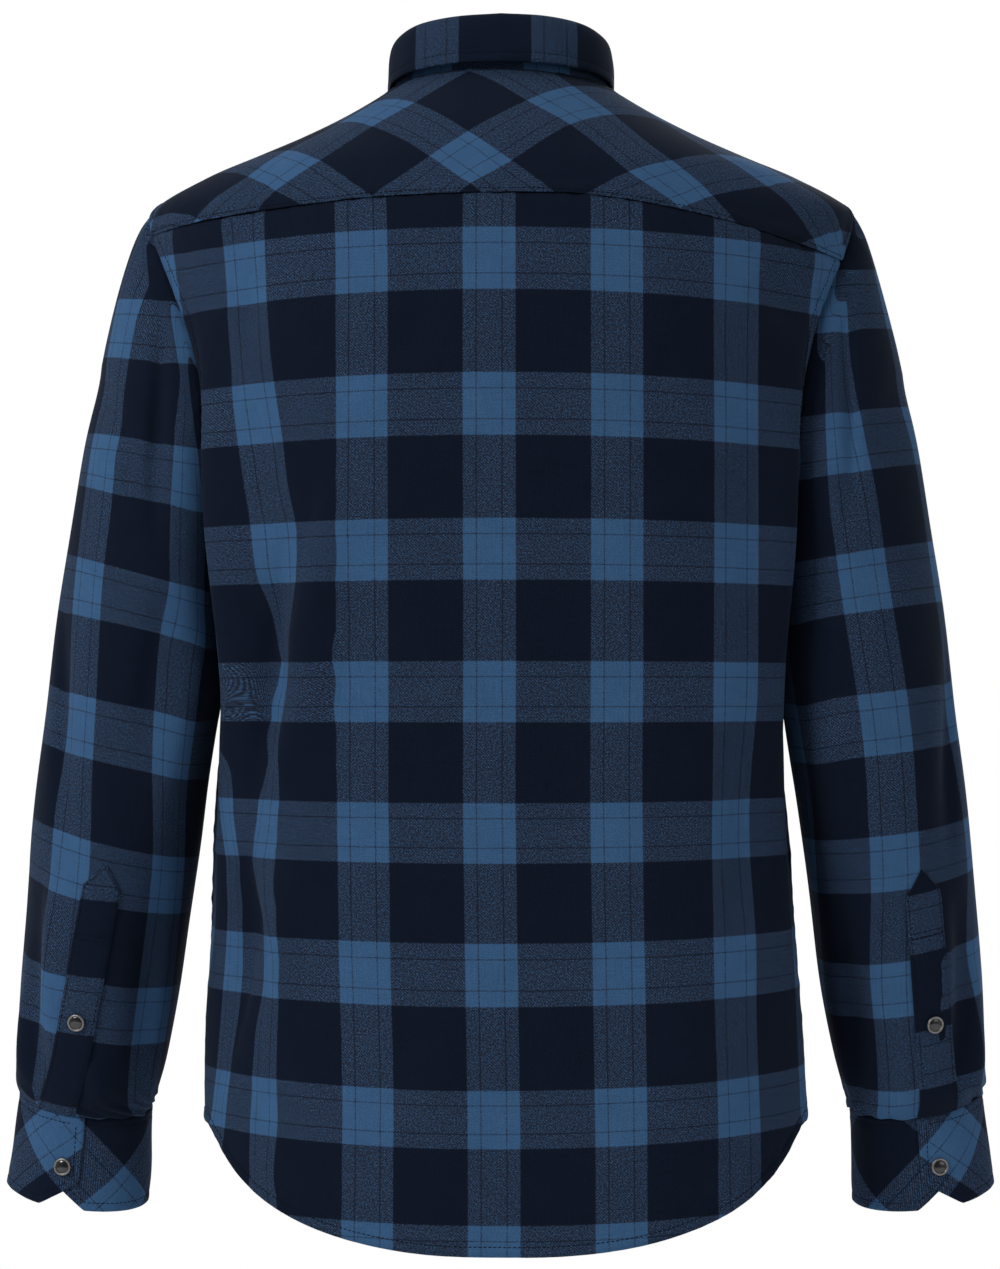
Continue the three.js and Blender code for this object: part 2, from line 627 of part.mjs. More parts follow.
// Point of the folded-down collar, from the top of the stand (0) to its edge (1).
function fallPoint(deg, t) {
  const { row, mirror } = collarAt(deg);
  const top = new THREE.Vector3(row.topX * mirror, row.topY, row.topZ + LAYER_GAP);
  const edge = new THREE.Vector3(row.edgeX * mirror, row.edgeY, row.edgeZ + FALL_LIFT);
  const away = new THREE.Vector3(edge.x - top.x, edge.y - top.y, 0).normalize();
  const bend = top.clone().addScaledVector(away, FALL_ROLL).setZ(top.z + FALL_RISE);
  const under = top.clone().lerp(bend, t);
  return under.lerp(bend.lerp(edge, t), t);
}

function makeFall() {
  const start = -90 + COLLAR_OPENING_DEG;
  const turns = range(FALL_STEPS).map((t) => start + (360 - 2 * COLLAR_OPENING_DEG) * t);
  const end = turns.at(-1);
  const rows = FALL_ROWS.map((t) => turns.map((deg) => {
    const normal = normalAt(fallPoint, clamp(deg, start + 0.5, end - 0.5), clamp(t, 0.01, 0.99), 0.4, -0.01);
    const outer = fallPoint(deg, t).addScaledVector(normal, DOUBLED_CLOTH);
    return [outer, outer.clone().addScaledVector(normal, -DOUBLED_CLOTH)];
  }));
  return named('collar_fall', wallGeometry(rows), flannel(MID_BLUE));
}

// Point of a sleeve at an angle from its outer line through the back, and a ring step.
function sleevePoint(side, phi, step) {
  const ring = rowAt(SLEEVE, 'step', step);
  const [c, s] = [Math.cos(phi), Math.sin(phi)];
  const depth = s > 0 ? ring.back : ring.front;
  const half = new THREE.Vector3((ring.outX - ring.inX) / 2, 0, (ring.outZ - ring.inZ) / 2);
  const middle = new THREE.Vector3((ring.outX + ring.inX) / 2, ring.midY, (ring.outZ + ring.inZ) / 2);
  const point = middle.addScaledVector(half, c);
  point.y += depth * s * (1 - ring.egg * c);
  point.z -= ring.dip * s;
  const settle = clamp(1 - step / ARMHOLE_SETTLE, 0, 1) ** 2;
  if (settle > 0) point.addScaledVector(armholeBulge(side, phi), settle);
  const radius = Math.hypot(half.length() * s, depth * c);
  let out = 0;
  for (const fold of SLEEVE_FOLDS.filter((row) => row.side === side)) {
    const share = (step - fold.from) / (fold.to - fold.from);
    const line = radians(fold.turnFrom + (fold.turnTo - fold.turnFrom) * share);
    out += foldHeight(fold, share, angleBetween(phi, line) * radius);
  }
  point.addScaledVector(half.normalize(), c * out);
  point.y += s * out;
  point.x *= side;
  return point;
}

// How far the armhole on the body stands out from the flat ring at the sleeve's head.
function armholeBulge(side, phi) {
  const { y, z } = armholeYZ(phi, 0);
  const across = (z - ARMHOLE_MID_Z) / ARMHOLE_HALF_Z;
  const flat = (SLEEVE[0].outX + SLEEVE[0].inX) / 2 + ((SLEEVE[0].outX - SLEEVE[0].inX) / 2) * across;
  const seam = bodyPoint(turnAtY(y, z, side), z);
  return new THREE.Vector3(side * seam.x - flat, seam.y - y, 0);
}

function sleeveNormal(side, phi, step) {
  const at = clamp(step, 0.02, LAST_RING - 0.02);
  return normalAt((u, v) => sleevePoint(side, u, v), phi, at, 0.02, -0.02).multiplyScalar(side);
}

function makeSleeve(side) {
  const { back, yoke, ahead } = armholeAngles(side);
  const angles = [...back, ...yoke.slice(1), ...ahead.slice(1, -1)];
  const rows = range(SLEEVE_STEPS).map((t) => angles.map((phi) => {
    const step = LAST_RING * t;
    const outer = sleevePoint(side, phi, step);
    if (t === 0) {
      const spot = armholeSpot(side, phi, 0);
      const down = sleevePoint(side, phi, 0.2).sub(outer).normalize();
      outer.addScaledVector(down.add(bodyNormal(spot.turn, spot.z)).normalize(), SLEEVE_SEAM_GAP);
    }
    return [outer, outer.clone().addScaledVector(sleeveNormal(side, phi, step), -CLOTH)];
  }));
  if (side < 0) rows.forEach((row) => row.reverse());
  return named(side > 0 ? 'sleeve_left' : 'sleeve_right', wallGeometry(rows, true), flannel(NAVY));
}

// Point of a sleeve placket: across from -1 to 1, and along from the cuff (0) to its point (1).
function sleevePlacketSpot(placket, across, along) {
  const stepUp = placket.stepBottom + (placket.stepTop - placket.stepBottom) * along;
  const turn = placket.turnBottom + (placket.turnTop - placket.turnBottom) * along;
  const ring = rowAt(SLEEVE, 'step', stepUp);
  const radius = Math.hypot((ring.outX - ring.inX) / 2, (ring.back + ring.front) / 2) / Math.SQRT2;
  return { phi: radians(turn) - (across * SLEEVE_PLACKET_WIDTH) / 2 / radius, step: stepUp };
}

function makeSleevePlacket(placket) {
  const { side } = placket;
  const length = sleevePoint(side, radians(placket.turnTop), placket.stepTop)
    .distanceTo(sleevePoint(side, radians(placket.turnBottom), placket.stepBottom));
  const rows = range(SLEEVE_PLACKET_ROWS).map((v) => SLEEVE_PLACKET_COLUMNS.map((across) => {
    const full = 1 - (SLEEVE_PLACKET_POINT / length) * Math.abs(across);
    const { phi, step } = sleevePlacketSpot(placket, across, v * full);
    const normal = sleeveNormal(side, phi, step);
    const point = sleevePoint(side, phi, step);
    const lift = LAYER_GAP + CLOTH;
    return [point.clone().addScaledVector(normal, lift), point.addScaledVector(normal, LAYER_GAP)];
  }));
  if (side > 0) rows.forEach((row) => row.reverse());
  const name = side > 0 ? 'sleeve_placket_left' : 'sleeve_placket_right';
  return named(name, wallGeometry(rows), flannel(MID_BLUE));
}

// Point of a cuff at an angle from its outer line through the back, and down from its top seam.
function cuffPoint(side, phi, down, lift) {
  const [top, low] = [CUFF[0].z, CUFF.at(-1).z];
  const row = rowAt(CUFF, 'z', top + (low - top) * down);
  const [c, s] = [Math.cos(phi), Math.sin(phi)];
  const z = row.z + CUFF_TILT * row.halfX * c - CUFF_DIP * s - SEAM_GAP;
  return new THREE.Vector3(side * (row.midX + (row.halfX + lift) * c),
    row.midY + (row.halfY + lift) * s, z);
}

// The flap end lies over the other end, and both lower corners are cut off slantwise.
function makeCuff(side) {
  const middle = CUFF[1];
  const round = Math.PI * (middle.halfX + middle.halfY);
  const overlap = (CUFF_OVERLAP / round) * 2 * Math.PI;
  const flapEnd = radians(CUFF_FLAP_END_DEG);
  const height = CUFF[0].z - CUFF.at(-1).z;
  const turns = range(CUFF_STEPS).map((t) => (2 * Math.PI + overlap) * t);
  const perRadian = round / (2 * Math.PI);
  const rows = range(CUFF_ROWS).reverse().map((v) => turns.map((turn) => {
    const toEnd = Math.min(turn, 2 * Math.PI + overlap - turn) * perRadian;
    const full = 1 - (Math.max(0, CUFF_MITRE - toEnd) / CUFF_MITRE) * (CUFF_MITRE_RISE / height);
    const lift = (LAYER_GAP + CLOTH) * (1 - smooth((turn * perRadian - CUFF_STEP_START) / CUFF_STEP_SLOPE));
    const phi = flapEnd - turn;
    return [cuffPoint(side, phi, v * full, lift), cuffPoint(side, phi, v * full, lift - CLOTH)];
  }));
  if (side > 0) rows.forEach((row) => row.reverse());
  return named(side > 0 ? 'cuff_left' : 'cuff_right', wallGeometry(rows), flannel(MID_BLUE));
}

// Press snap: a rolled metal rim round a glossy domed cap, facing along a normal.
function makeSnap(name, point, normal) {
  const turned = (profile) => {
    const points = profile.map(({ radius, height }) => new THREE.Vector2(radius, height));
    return new THREE.LatheGeometry(points, SNAP_SIDES);
  };
  const pieces = [
    named(`${name}_rim`, turned(SNAP_RIM), metal(PEWTER, 0.35)),
    named(`${name}_cap`, turned(SNAP_CAP), metal(GLOSS_BLACK, 0.15)),
  ];
  for (const piece of pieces) {
    piece.position.copy(point);
    piece.quaternion.setFromUnitVectors(new THREE.Vector3(0, 1, 0), normal);
  }
  return pieces;
}

function makeSnaps() {
  const snaps = [];
  const middle = -Math.PI / 2;
  for (let i = 0; i < FRONT_SNAP_COUNT; i += 1) {
    const z = FRONT_SNAP_TOP_Z - FRONT_SNAP_PITCH * i;
    const normal = bodyNormal(middle, z);
    const point = bodyPoint(middle, z).addScaledVector(normal, LAYER_GAP + CLOTH + SNAP_SEAT);
    snaps.push(...makeSnap(`snap_front_${i + 1}`, point, normal));
  }
  const ahead = standNormal(-90);
  snaps.push(...makeSnap('snap_stand', standPoint(-90, 0.5).addScaledVector(ahead, SNAP_SEAT), ahead));
  for (const placket of SLEEVE_PLACKETS) {
    const { side } = placket;
    const word = side > 0 ? 'left' : 'right';
    const along = (placket.snapStep - placket.stepBottom) / (placket.stepTop - placket.stepBottom);
    const { phi, step } = sleevePlacketSpot(placket, 0, along);
    const normal = sleeveNormal(side, phi, step);
    const point = sleevePoint(side, phi, step).addScaledVector(normal, LAYER_GAP + CLOTH + SNAP_SEAT);
    snaps.push(...makeSnap(`snap_sleeve_${word}`, point, normal));
    const turn = radians(CUFF_SNAP_DEG);
    const lift = LAYER_GAP + CLOTH;
    const seatPoint = cuffPoint(side, turn, CUFF_SNAP_DOWN, lift);
    const out = cuffPoint(side, turn, CUFF_SNAP_DOWN, lift + 1).sub(seatPoint).normalize();
    snaps.push(...makeSnap(`snap_cuff_${word}`, seatPoint.addScaledVector(out, SNAP_SEAT), out));
  }
  return snaps;
}

const shirt = new THREE.Group();
shirt.add(makeBack(), makeYoke(), makeFront(1), makeFront(-1), makeFrontPlacket(), makeStand(), makeFall());
for (const side of [1, -1]) shirt.add(makeSleeve(side), makeCuff(side));
for (const placket of SLEEVE_PLACKETS) shirt.add(makeSleevePlacket(placket));
shirt.add(...makeSnaps());

export default shirt;
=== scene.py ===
import math

import bpy
import numpy as np
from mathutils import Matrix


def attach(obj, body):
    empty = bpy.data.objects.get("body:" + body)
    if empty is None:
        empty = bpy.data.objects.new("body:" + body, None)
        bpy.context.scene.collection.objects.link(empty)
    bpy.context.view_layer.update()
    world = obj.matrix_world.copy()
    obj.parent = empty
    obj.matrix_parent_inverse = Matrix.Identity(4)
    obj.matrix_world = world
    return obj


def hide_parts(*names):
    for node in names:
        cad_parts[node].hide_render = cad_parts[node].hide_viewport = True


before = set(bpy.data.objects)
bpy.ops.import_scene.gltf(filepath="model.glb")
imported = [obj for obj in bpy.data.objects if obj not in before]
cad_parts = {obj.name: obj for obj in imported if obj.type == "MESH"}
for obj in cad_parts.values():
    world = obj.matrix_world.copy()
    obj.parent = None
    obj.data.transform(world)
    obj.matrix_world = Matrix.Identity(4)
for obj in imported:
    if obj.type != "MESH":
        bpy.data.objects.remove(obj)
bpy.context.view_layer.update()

scene = bpy.context.scene


# The cloth: brushed cotton flannel, woven in a twill from light blue and navy yarn. Wide light
# stripes cross on a navy ground, and two single navy yarns run in each light stripe. The face
# is raised into a short nap, which makes the cloth matt and a little hazy.
WARP_PERIOD = 80.0
WARP_LIGHT = 33.0
WEFT_PERIOD = 90.5
WEFT_LIGHT = 39.0
YARN_LINE = 0.8
TWILL_PITCH = 1.9
LIGHT_YARN = (0.0298, 0.0748, 0.1550)
MIXED_YARN = (0.0149, 0.0218, 0.0405)
NAVY_YARN = (0.0039, 0.0067, 0.0147)


def node(tree, kind, inputs=(), **settings):
    made = tree.nodes.new(kind)
    for key, value in settings.items():
        setattr(made, key, value)
    for socket, value in zip(made.inputs, inputs):
        if isinstance(value, bpy.types.NodeSocket):
            tree.links.new(value, socket)
        elif value is not None:
            socket.default_value = value
    return made.outputs[0]


def math_node(tree, operation, *inputs, clamp=False):
    return node(tree, "ShaderNodeMath", inputs, operation=operation, use_clamp=clamp)


def check_stripe_group():
    """Share of light yarn at a place across the stripes."""
    tree = bpy.data.node_groups.new("Check stripe", "ShaderNodeTree")
    for name in ("Place", "Period", "Light width", "Line width"):
        tree.interface.new_socket(name, in_out="INPUT", socket_type="NodeSocketFloat")
    tree.interface.new_socket("Light", in_out="OUTPUT", socket_type="NodeSocketFloat")
    given = tree.nodes.new("NodeGroupInput").outputs
    turns = math_node(tree, "ADD", math_node(tree, "DIVIDE", given[0], given[1]), 0.5)
    off = math_node(tree, "SUBTRACT", math_node(tree, "FRACT", turns), 0.5)
    away = math_node(tree, "MULTIPLY", math_node(tree, "ABSOLUTE", off), given[1])
    edge = math_node(tree, "MULTIPLY_ADD", given[2], 0.5, math_node(tree, "MULTIPLY", away, -1.0))
    light = math_node(tree, "MULTIPLY_ADD", edge, 1.6, 0.5, clamp=True)
    line_off = math_node(tree, "ABSOLUTE", math_node(tree, "MULTIPLY_ADD", given[2], -0.245, away))
    line_edge = math_node(tree, "MULTIPLY_ADD", given[3], 0.5, math_node(tree, "MULTIPLY", line_off, -1.0))
    line = math_node(tree, "MULTIPLY_ADD", line_edge, 3.0, 0.5, clamp=True)
    kept = math_node(tree, "MULTIPLY_ADD", line, -0.6, 1.0)
    out = tree.nodes.new("NodeGroupOutput")
    tree.links.new(math_node(tree, "MULTIPLY", light, kept), out.inputs[0])
    return tree


check_stripe = check_stripe_group()


def flannel_material(name):
    material = bpy.data.materials.new(name)
    material.use_nodes = True
    tree = material.node_tree
    shader = tree.nodes["Principled BSDF"]
    shader.inputs["Roughness"].default_value = 0.92
    shader.inputs["Specular IOR Level"].default_value = 0.03
    shader.inputs["Sheen Weight"].default_value = 0.03
    shader.inputs["Sheen Roughness"].default_value = 0.45
    shader.inputs["Sheen Tint"].default_value = (0.55, 0.72, 1.0, 1.0)
    weave = node(tree, "ShaderNodeUVMap", uv_map="weave")
    place = node(tree, "ShaderNodeVectorMath", (weave, (1000.0, 1000.0, 1000.0)), operation="MULTIPLY")
    fray = tree.nodes.new("ShaderNodeTexNoise")
    tree.links.new(place, fray.inputs["Vector"])
    fray.inputs["Scale"].default_value = 1.1
    fray.inputs["Detail"].default_value = 1.0
    grey = (0.5, 0.5, 0.5)
    wander = node(tree, "ShaderNodeVectorMath", (fray.outputs["Color"], grey), operation="SUBTRACT")
    ragged = node(tree, "ShaderNodeVectorMath", (wander, (0.9, 0.9, 0.0), place), operation="MULTIPLY_ADD")
    split = tree.nodes.new("ShaderNodeSeparateXYZ")
    tree.links.new(ragged, split.inputs[0])
    across, along = split.outputs[0], split.outputs[1]
    stripes = []
    for coordinate, period, width in ((across, WARP_PERIOD, WARP_LIGHT), (along, WEFT_PERIOD, WEFT_LIGHT)):
        stripe = tree.nodes.new("ShaderNodeGroup")
        stripe.node_tree = check_stripe
        tree.links.new(coordinate, stripe.inputs[0])
        for socket, value in zip(stripe.inputs[1:], (period, width, YARN_LINE)):
            socket.default_value = value
        stripes.append(stripe.outputs[0])
    warp, weft = stripes
    rib = math_node(tree, "DIVIDE", math_node(tree, "SUBTRACT", across, along), TWILL_PITCH)
    rib_wave = math_node(tree, "SINE", math_node(tree, "MULTIPLY", rib, 2 * math.pi))
    blur = tree.nodes.new("ShaderNodeTexNoise")
    tree.links.new(place, blur.inputs["Vector"])
    blur.inputs["Scale"].default_value = 0.95
    blur.inputs["Detail"].default_value = 2.0
    blurred = math_node(tree, "MULTIPLY_ADD", math_node(tree, "SUBTRACT", blur.outputs[0], 0.5), 1.8, 0.5)
    on_top = math_node(tree, "MULTIPLY_ADD", rib_wave, 0.18, blurred, clamp=True)
    woven = math_node(tree, "MULTIPLY_ADD", math_node(tree, "SUBTRACT", warp, weft), on_top, weft)
    slubs = []
    for stretch in ((2.2, 0.05, 1.0), (0.05, 2.2, 1.0)):
        stretched = node(tree, "ShaderNodeVectorMath", (place, stretch), operation="MULTIPLY")
        slub = tree.nodes.new("ShaderNodeTexNoise")
        tree.links.new(stretched, slub.inputs["Vector"])
        slub.inputs["Scale"].default_value = 1.0
        slub.inputs["Detail"].default_value = 2.0
        slubs.append(slub.outputs[0])
    cloudy = tree.nodes.new("ShaderNodeTexNoise")
    tree.links.new(place, cloudy.inputs["Vector"])
    cloudy.inputs["Scale"].default_value = 0.045
    cloudy.inputs["Detail"].default_value = 2.0
    slub_sum = math_node(tree, "ADD", slubs[0], slubs[1])
    streak = math_node(tree, "MULTIPLY_ADD", slub_sum, 0.40, 0.48)
    streak = math_node(tree, "MULTIPLY_ADD", cloudy.outputs[0], 0.22, streak)
    colour = tree.nodes.new("ShaderNodeValToRGB")
    tree.links.new(woven, colour.inputs[0])
    stops = colour.color_ramp.elements
    stops[0].color, stops[1].color = (*NAVY_YARN, 1.0), (*LIGHT_YARN, 1.0)
    stops.new(0.5).color = (*MIXED_YARN, 1.0)
    toned = node(tree, "ShaderNodeVectorMath", (colour.outputs[0],), operation="SCALE")
    tree.links.new(streak, toned.node.inputs["Scale"])
    tree.links.new(toned, shader.inputs["Base Color"])
    nap = tree.nodes.new("ShaderNodeTexNoise")
    tree.links.new(place, nap.inputs["Vector"])
    nap.inputs["Scale"].default_value = 2.2
    nap.inputs["Detail"].default_value = 2.0
    height = math_node(tree, "MULTIPLY_ADD", rib_wave, 0.18, nap.outputs[0])
    bump = tree.nodes.new("ShaderNodeBump")
    bump.inputs["Strength"].default_value = 0.35
    bump.inputs["Distance"].default_value = 0.0003
    tree.links.new(height, bump.inputs["Height"])
    tree.links.new(bump.outputs[0], shader.inputs["Normal"])
    return material


flannel = flannel_material("Flannel")
flannel_bias = flannel_material("Flannel on the bias")


# The body's form: the hollow that a wearer's chest, waist and shoulders give to the cloth.
# Level sections from the neck down, in millimetres, with the long soft folds that hang from
# the shoulder blades and the armholes. Every body panel is laid on it.
CLOTH = 1.1
SIDE_HEM_Z = -668.0
BACK_TAIL = 78.0
FRONT_TAIL = 60.0
TAIL_CURVE, TAIL_START, TAIL_SOFT = 1.29, 0.4, 0.07
PINCH_REACH = 58.0
BODY = np.array([
    # z, half width, back, front, square back, square front, pinch, lean
    (12, 55, 56, 34, 2, 2, 0, 0),
    (8, 62, 62, 38, 2, 2, 0, 0),
    (3, 70, 68.5, 42, 2, 2, 0, 0),
    (-2, 77, 75, 46, 2, 2, 0, 0),
    (-18, 104, 91, 56, 2, 2, 0, 0),
    (-32, 132, 103.5, 63, 2, 2, 0, 0),
    (-45, 162, 112.5, 68.5, 2.05, 2.05, 0, 0),
    (-58, 193, 120, 75, 2.1, 2.1, 0, 0),
    (-77, 226, 128, 84, 2.1, 2.15, 0, 0),
    (-93, 231, 132, 90, 2.15, 2.2, 0, 0),
    (-120, 226, 136, 98, 2.25, 2.4, 0, 0),
    (-160, 214, 138.5, 108, 2.4, 2.6, 0, 0),
    (-200, 205, 138, 115, 2.55, 2.8, 8, 0),
    (-250, 199, 134.5, 119, 2.7, 2.9, 18, 0),
    (-312, 196, 128, 119.5, 2.8, 2.9, 28, 0),
    (-360, 194, 122.5, 118, 2.8, 2.8, 24.5, 0),
    (-410, 192, 118, 116, 2.7, 2.7, 11, 0),
    (-460, 190.5, 115, 114.5, 2.65, 2.7, 4, 0),
    (-520, 191, 114, 113.5, 2.6, 2.6, 1, -0.8),
    (-590, 193, 114.5, 113, 2.6, 2.6, 0, -1.8),
    (-668, 195.5, 116, 113, 2.6, 2.6, 0, -3),
    (-746, 196, 117, 113, 2.6, 2.6, 0, -3.2),
])
BODY_FOLDS = [
    # top, bottom, turn at the top and bottom, depth, reach to more and to less turn
    (-120, -455, 34, 29, 14, 22, 13),
    (-120, -470, 147, 151, 13, 13, 22),
    (-95, -185, 47, 45, -5, 14, 14),
    (-110, -170, 137, 143, -4, 14, 14),
    (-255, -505, 51, 38, -14, 11, 26),
    (-250, -470, 62, 50, 5, 16, 14),
    (-455, -655, 42, 29, -10, 11, 20),
    (-430, -640, 54, 42, 4, 16, 14),
    (-400, -560, 137, 138, -6, 16, 14),
    (-520, -700, 118, 127, 6, 20, 20),
    (-545, -720, 80, 76, 5, 26, 26),
    (-250, -600, 101, 104, -3, 24, 24),
    (-150, -420, -36, -42, 9, 18, 20),
    (-150, -430, -144, -137, 9, 20, 18),
    (-260, -500, -52, -38, -9, 20, 14),
    (-280, -540, -128, -143, -9, 14, 20),
    (-440, -665, -60, -66, 6, 22, 22),
    (-430, -660, -121, -114, 6, 22, 22),
    (-330, -600, 8, 12, -6, 16, 16),
    (-350, -620, 173, 168, -6, 16, 16),
]


def row_at(rows, value):
    """Columns of a table at each value of its first column, on a smooth curve."""
    keys = rows[:, 0]
    sign = -1.0 if keys[-1] < keys[0] else 1.0
    value = np.asarray(value, float)
    i = np.clip(np.searchsorted(sign * keys, sign * value, side="right") - 1, 0, len(keys) - 2)
    a, b = rows[i], rows[i + 1]
    before, after = rows[np.maximum(i - 1, 0)], rows[np.minimum(i + 2, len(keys) - 1)]
    span = (b[..., 0] - a[..., 0])[..., None]
    t = np.clip((value - a[..., 0]) / span[..., 0], 0, 1)[..., None]
    slope_a = (b - before) / (b[..., 0] - before[..., 0])[..., None] * span
    slope_b = (after - a) / (after[..., 0] - a[..., 0])[..., None] * span
    bend = a - b
    cubic = 2 * bend + slope_a + slope_b
    return a + t * (slope_a + t * (-bend - slope_a - cubic + t * cubic))


def smooth(t):
    s = np.clip(t, 0, 1)
    return s * s * (3 - 2 * s)


def fold_height(share, across, depth, more, less):
    reach = np.where(across > 0, more, less)
    rise = np.sin(np.pi * np.clip(share, 0, 1)) ** 1.5
    return depth * rise * np.exp(-((across / reach) ** 2))


def body_section(z, behind):
    row = row_at(BODY, z)
    depth = np.where(behind, row[..., 2], row[..., 3])
    square = np.where(behind, row[..., 4], row[..., 5])
    return row[..., 1], depth, square, row[..., 6], row[..., 7]


def body_point(turn, z):
    turn, z = np.broadcast_arrays(np.asarray(turn, float), np.asarray(z, float))
    c, s = np.cos(turn), np.sin(turn)
    half, depth, square, pinch, lean = body_section(z, s >= 0)
    grow = (np.abs(c) ** square + np.abs(s) ** square) ** (-1 / square)
    x, y = half * c * grow, depth * s * grow
    speed = np.hypot(half * s, depth * c)
    out = np.zeros_like(x)
    for top, bottom, turn_top, turn_bottom, height, more, less in BODY_FOLDS:
        share = (top - z) / (top - bottom)
        line = np.radians(turn_top + (turn_bottom - turn_top) * share)
        across = np.arctan2(np.sin(turn - line), np.cos(turn - line)) * speed
        out += fold_height(share, across, height, more, less)
    ax = np.sign(c) * np.abs(c * grow) ** (square - 1) / half
    ay = np.sign(s) * np.abs(s * grow) ** (square - 1) / depth
    size = np.hypot(ax, ay)
    nip = pinch * np.exp(-((y / PINCH_REACH) ** 2)) * np.sign(c)
    return np.stack([x - nip + lean + ax / size * out, y + ay / size * out, z], -1)


def turn_at_x(x, z, behind):
    half, _, square, _, _ = body_section(z, behind)
    p = np.clip(x / half, -1, 1)
    q = (1 - np.abs(p) ** square) ** (1 / square)
    return np.arctan2(np.where(behind, q, -q), p)


def turn_at_y(y, z, side):
    _, depth, square, _, _ = body_section(z, y >= 0)
    q = np.clip(y / depth, -1, 1)
    return np.arctan2(q, side * (1 - np.abs(q) ** square) ** (1 / square))


def hem_z(turn):
    s = np.sin(turn)
    past = np.abs(s) - TAIL_START
    share = (past + np.hypot(past, TAIL_SOFT)) / (2 * (1 - TAIL_START))
    return SIDE_HEM_Z - np.where(s > 0, BACK_TAIL, FRONT_TAIL) * (1 - np.maximum(0, 1 - share) ** TAIL_CURVE)


def spots(turn, z):
    turn, z = np.broadcast_arrays(np.asarray(turn, float), np.asarray(z, float))
    return np.stack([turn, z], -1)


def fill(bottom, top, left, right, rounds):
    """Rows of spots that fill the area between four border rows, evened out inside."""
    u = np.linspace(0, 1, len(bottom))[None, :, None]
    v = np.linspace(0, 1, len(left))[:, None, None]
    corners = (bottom[0] * (1 - u) + bottom[-1] * u) * (1 - v) + (top[0] * (1 - u) + top[-1] * u) * v
    inside = bottom[None] * (1 - v) + top[None] * v + left[:, None] * (1 - u) + right[:, None] * u - corners
    for _ in range(rounds):
        inside[1:-1, 1:-1] = (inside[:-2, 1:-1] + inside[2:, 1:-1] + inside[1:-1, :-2] + inside[1:-1, 2:]) / 4
    return inside


def spread(values, count):
    """The same path with count points, evenly spaced along it."""
    values = np.asarray(values, float)
    steps = np.linalg.norm(np.diff(values * (100.0, 1.0), axis=0), axis=1)
    reach = np.concatenate([[0], np.cumsum(steps)])
    at = np.linspace(0, reach[-1], count)
    return np.stack([np.interp(at, reach, values[:, k]) for k in range(values.shape[1])], -1)


def surface_normals(points, wraps=False):
    if wraps:
        padded = np.concatenate([points[:, -1:], points, points[:, :1]], axis=1)
        along_u = padded[:, 2:] - padded[:, :-2]
    else:
        along_u = np.gradient(points, axis=1)
    normals = np.cross(along_u, np.gradient(points, axis=0))
    return normals / np.maximum(np.linalg.norm(normals, axis=-1, keepdims=True), 1e-9)


def arc_from(points, axis, back=False):
    """Distance along the grid from its first line, or from its last one."""
    steps = np.linalg.norm(np.diff(points, axis=axis), axis=-1)
    start = np.zeros_like(np.take(steps, [0], axis=axis))
    total = np.concatenate([start, np.cumsum(steps, axis=axis)], axis=axis)
    return np.take(total, [-1], axis=axis) - total if back else total


def ripple(seed, *places):
    """Soft uneven waves of height 1 from a few fixed ones laid over each other."""
    random = np.random.default_rng(seed)
    total = 0.0
    for _ in range(7):
        phase = random.uniform(0, 2 * np.pi)
        for place in places:
            phase = phase + place * random.uniform(-1.0, 1.0) * 2 * np.pi
        total = total + np.sin(phase)
    return total / 3.0


def cloth_wall(name, outer, normals, thickness, weave, material, nodes, wraps=False):
    """A closed shell with rounded edges through a grid of outer points."""
    nv, nu = outer.shape[:2]
    inner = outer - normals * thickness
    index = np.arange(nv * nu).reshape(nv, nu)
    around = np.concatenate([index, index[:, :1]], 1) if wraps else index
    quads = [around[:-1, :-1], around[:-1, 1:], around[1:, 1:], around[1:, :-1]]
    quads = np.stack(quads, -1).reshape(-1, 4)
    points = [outer.reshape(-1, 3), inner.reshape(-1, 3)]
    weaves = [weave.reshape(-1, 2)] * 2
    faces = [quads, quads[:, ::-1] + nv * nu]
    if wraps:
        second = np.concatenate([index[1], index[1, :1]])
        last_but_one = np.concatenate([index[-2], index[-2, :1]])
        loops = [(around[0], second), (around[-1, ::-1], last_but_one[::-1])]
    else:
        loop = np.concatenate([
            index[0, :-1], index[:-1, -1], index[-1, :0:-1], index[:0:-1, 0], index[:1, 0]])
        near = np.concatenate([
            index[1, :-1], index[:-1, -2], index[-2, :0:-1], index[:0:-1, 1], index[1:2, 0]])
        loops = [(loop, near)]
    flat = points[0]
    count = 2 * nv * nu
    for loop, near in loops:
        away = flat[loop] - flat[near]
        away /= np.maximum(np.linalg.norm(away, axis=1, keepdims=True), 1e-9)
        middle = (flat[loop] + points[1][loop]) / 2 + away * thickness * 0.45
        middle = middle[:-1]
        points.append(middle)
        weaves.append(weave.reshape(-1, 2)[loop[:-1]])
        ring = np.arange(count, count + len(middle))
        ring_next = np.roll(ring, -1)
        p, p_next = loop[:-1], loop[1:]
        faces.append(np.stack([p_next, p, ring, ring_next], -1))
        faces.append(np.stack([ring_next, ring, p + nv * nu, p_next + nv * nu], -1))
        count += len(middle)
    faces = np.concatenate(faces)
    mesh = bpy.data.meshes.new(name)
    mesh.from_pydata((np.concatenate(points) * 0.001).tolist(), [], faces.tolist())
    layer = mesh.uv_layers.new(name="weave")
    corners = np.concatenate(weaves)[faces.reshape(-1)] * 0.001
    layer.data.foreach_set("uv", corners.astype(np.float32).ravel())
    mesh.shade_smooth()
    mesh.materials.append(material)
    made = bpy.data.objects.new(name, mesh)
    scene.collection.objects.link(made)
    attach(made, "root")
    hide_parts(*nodes)
    return made


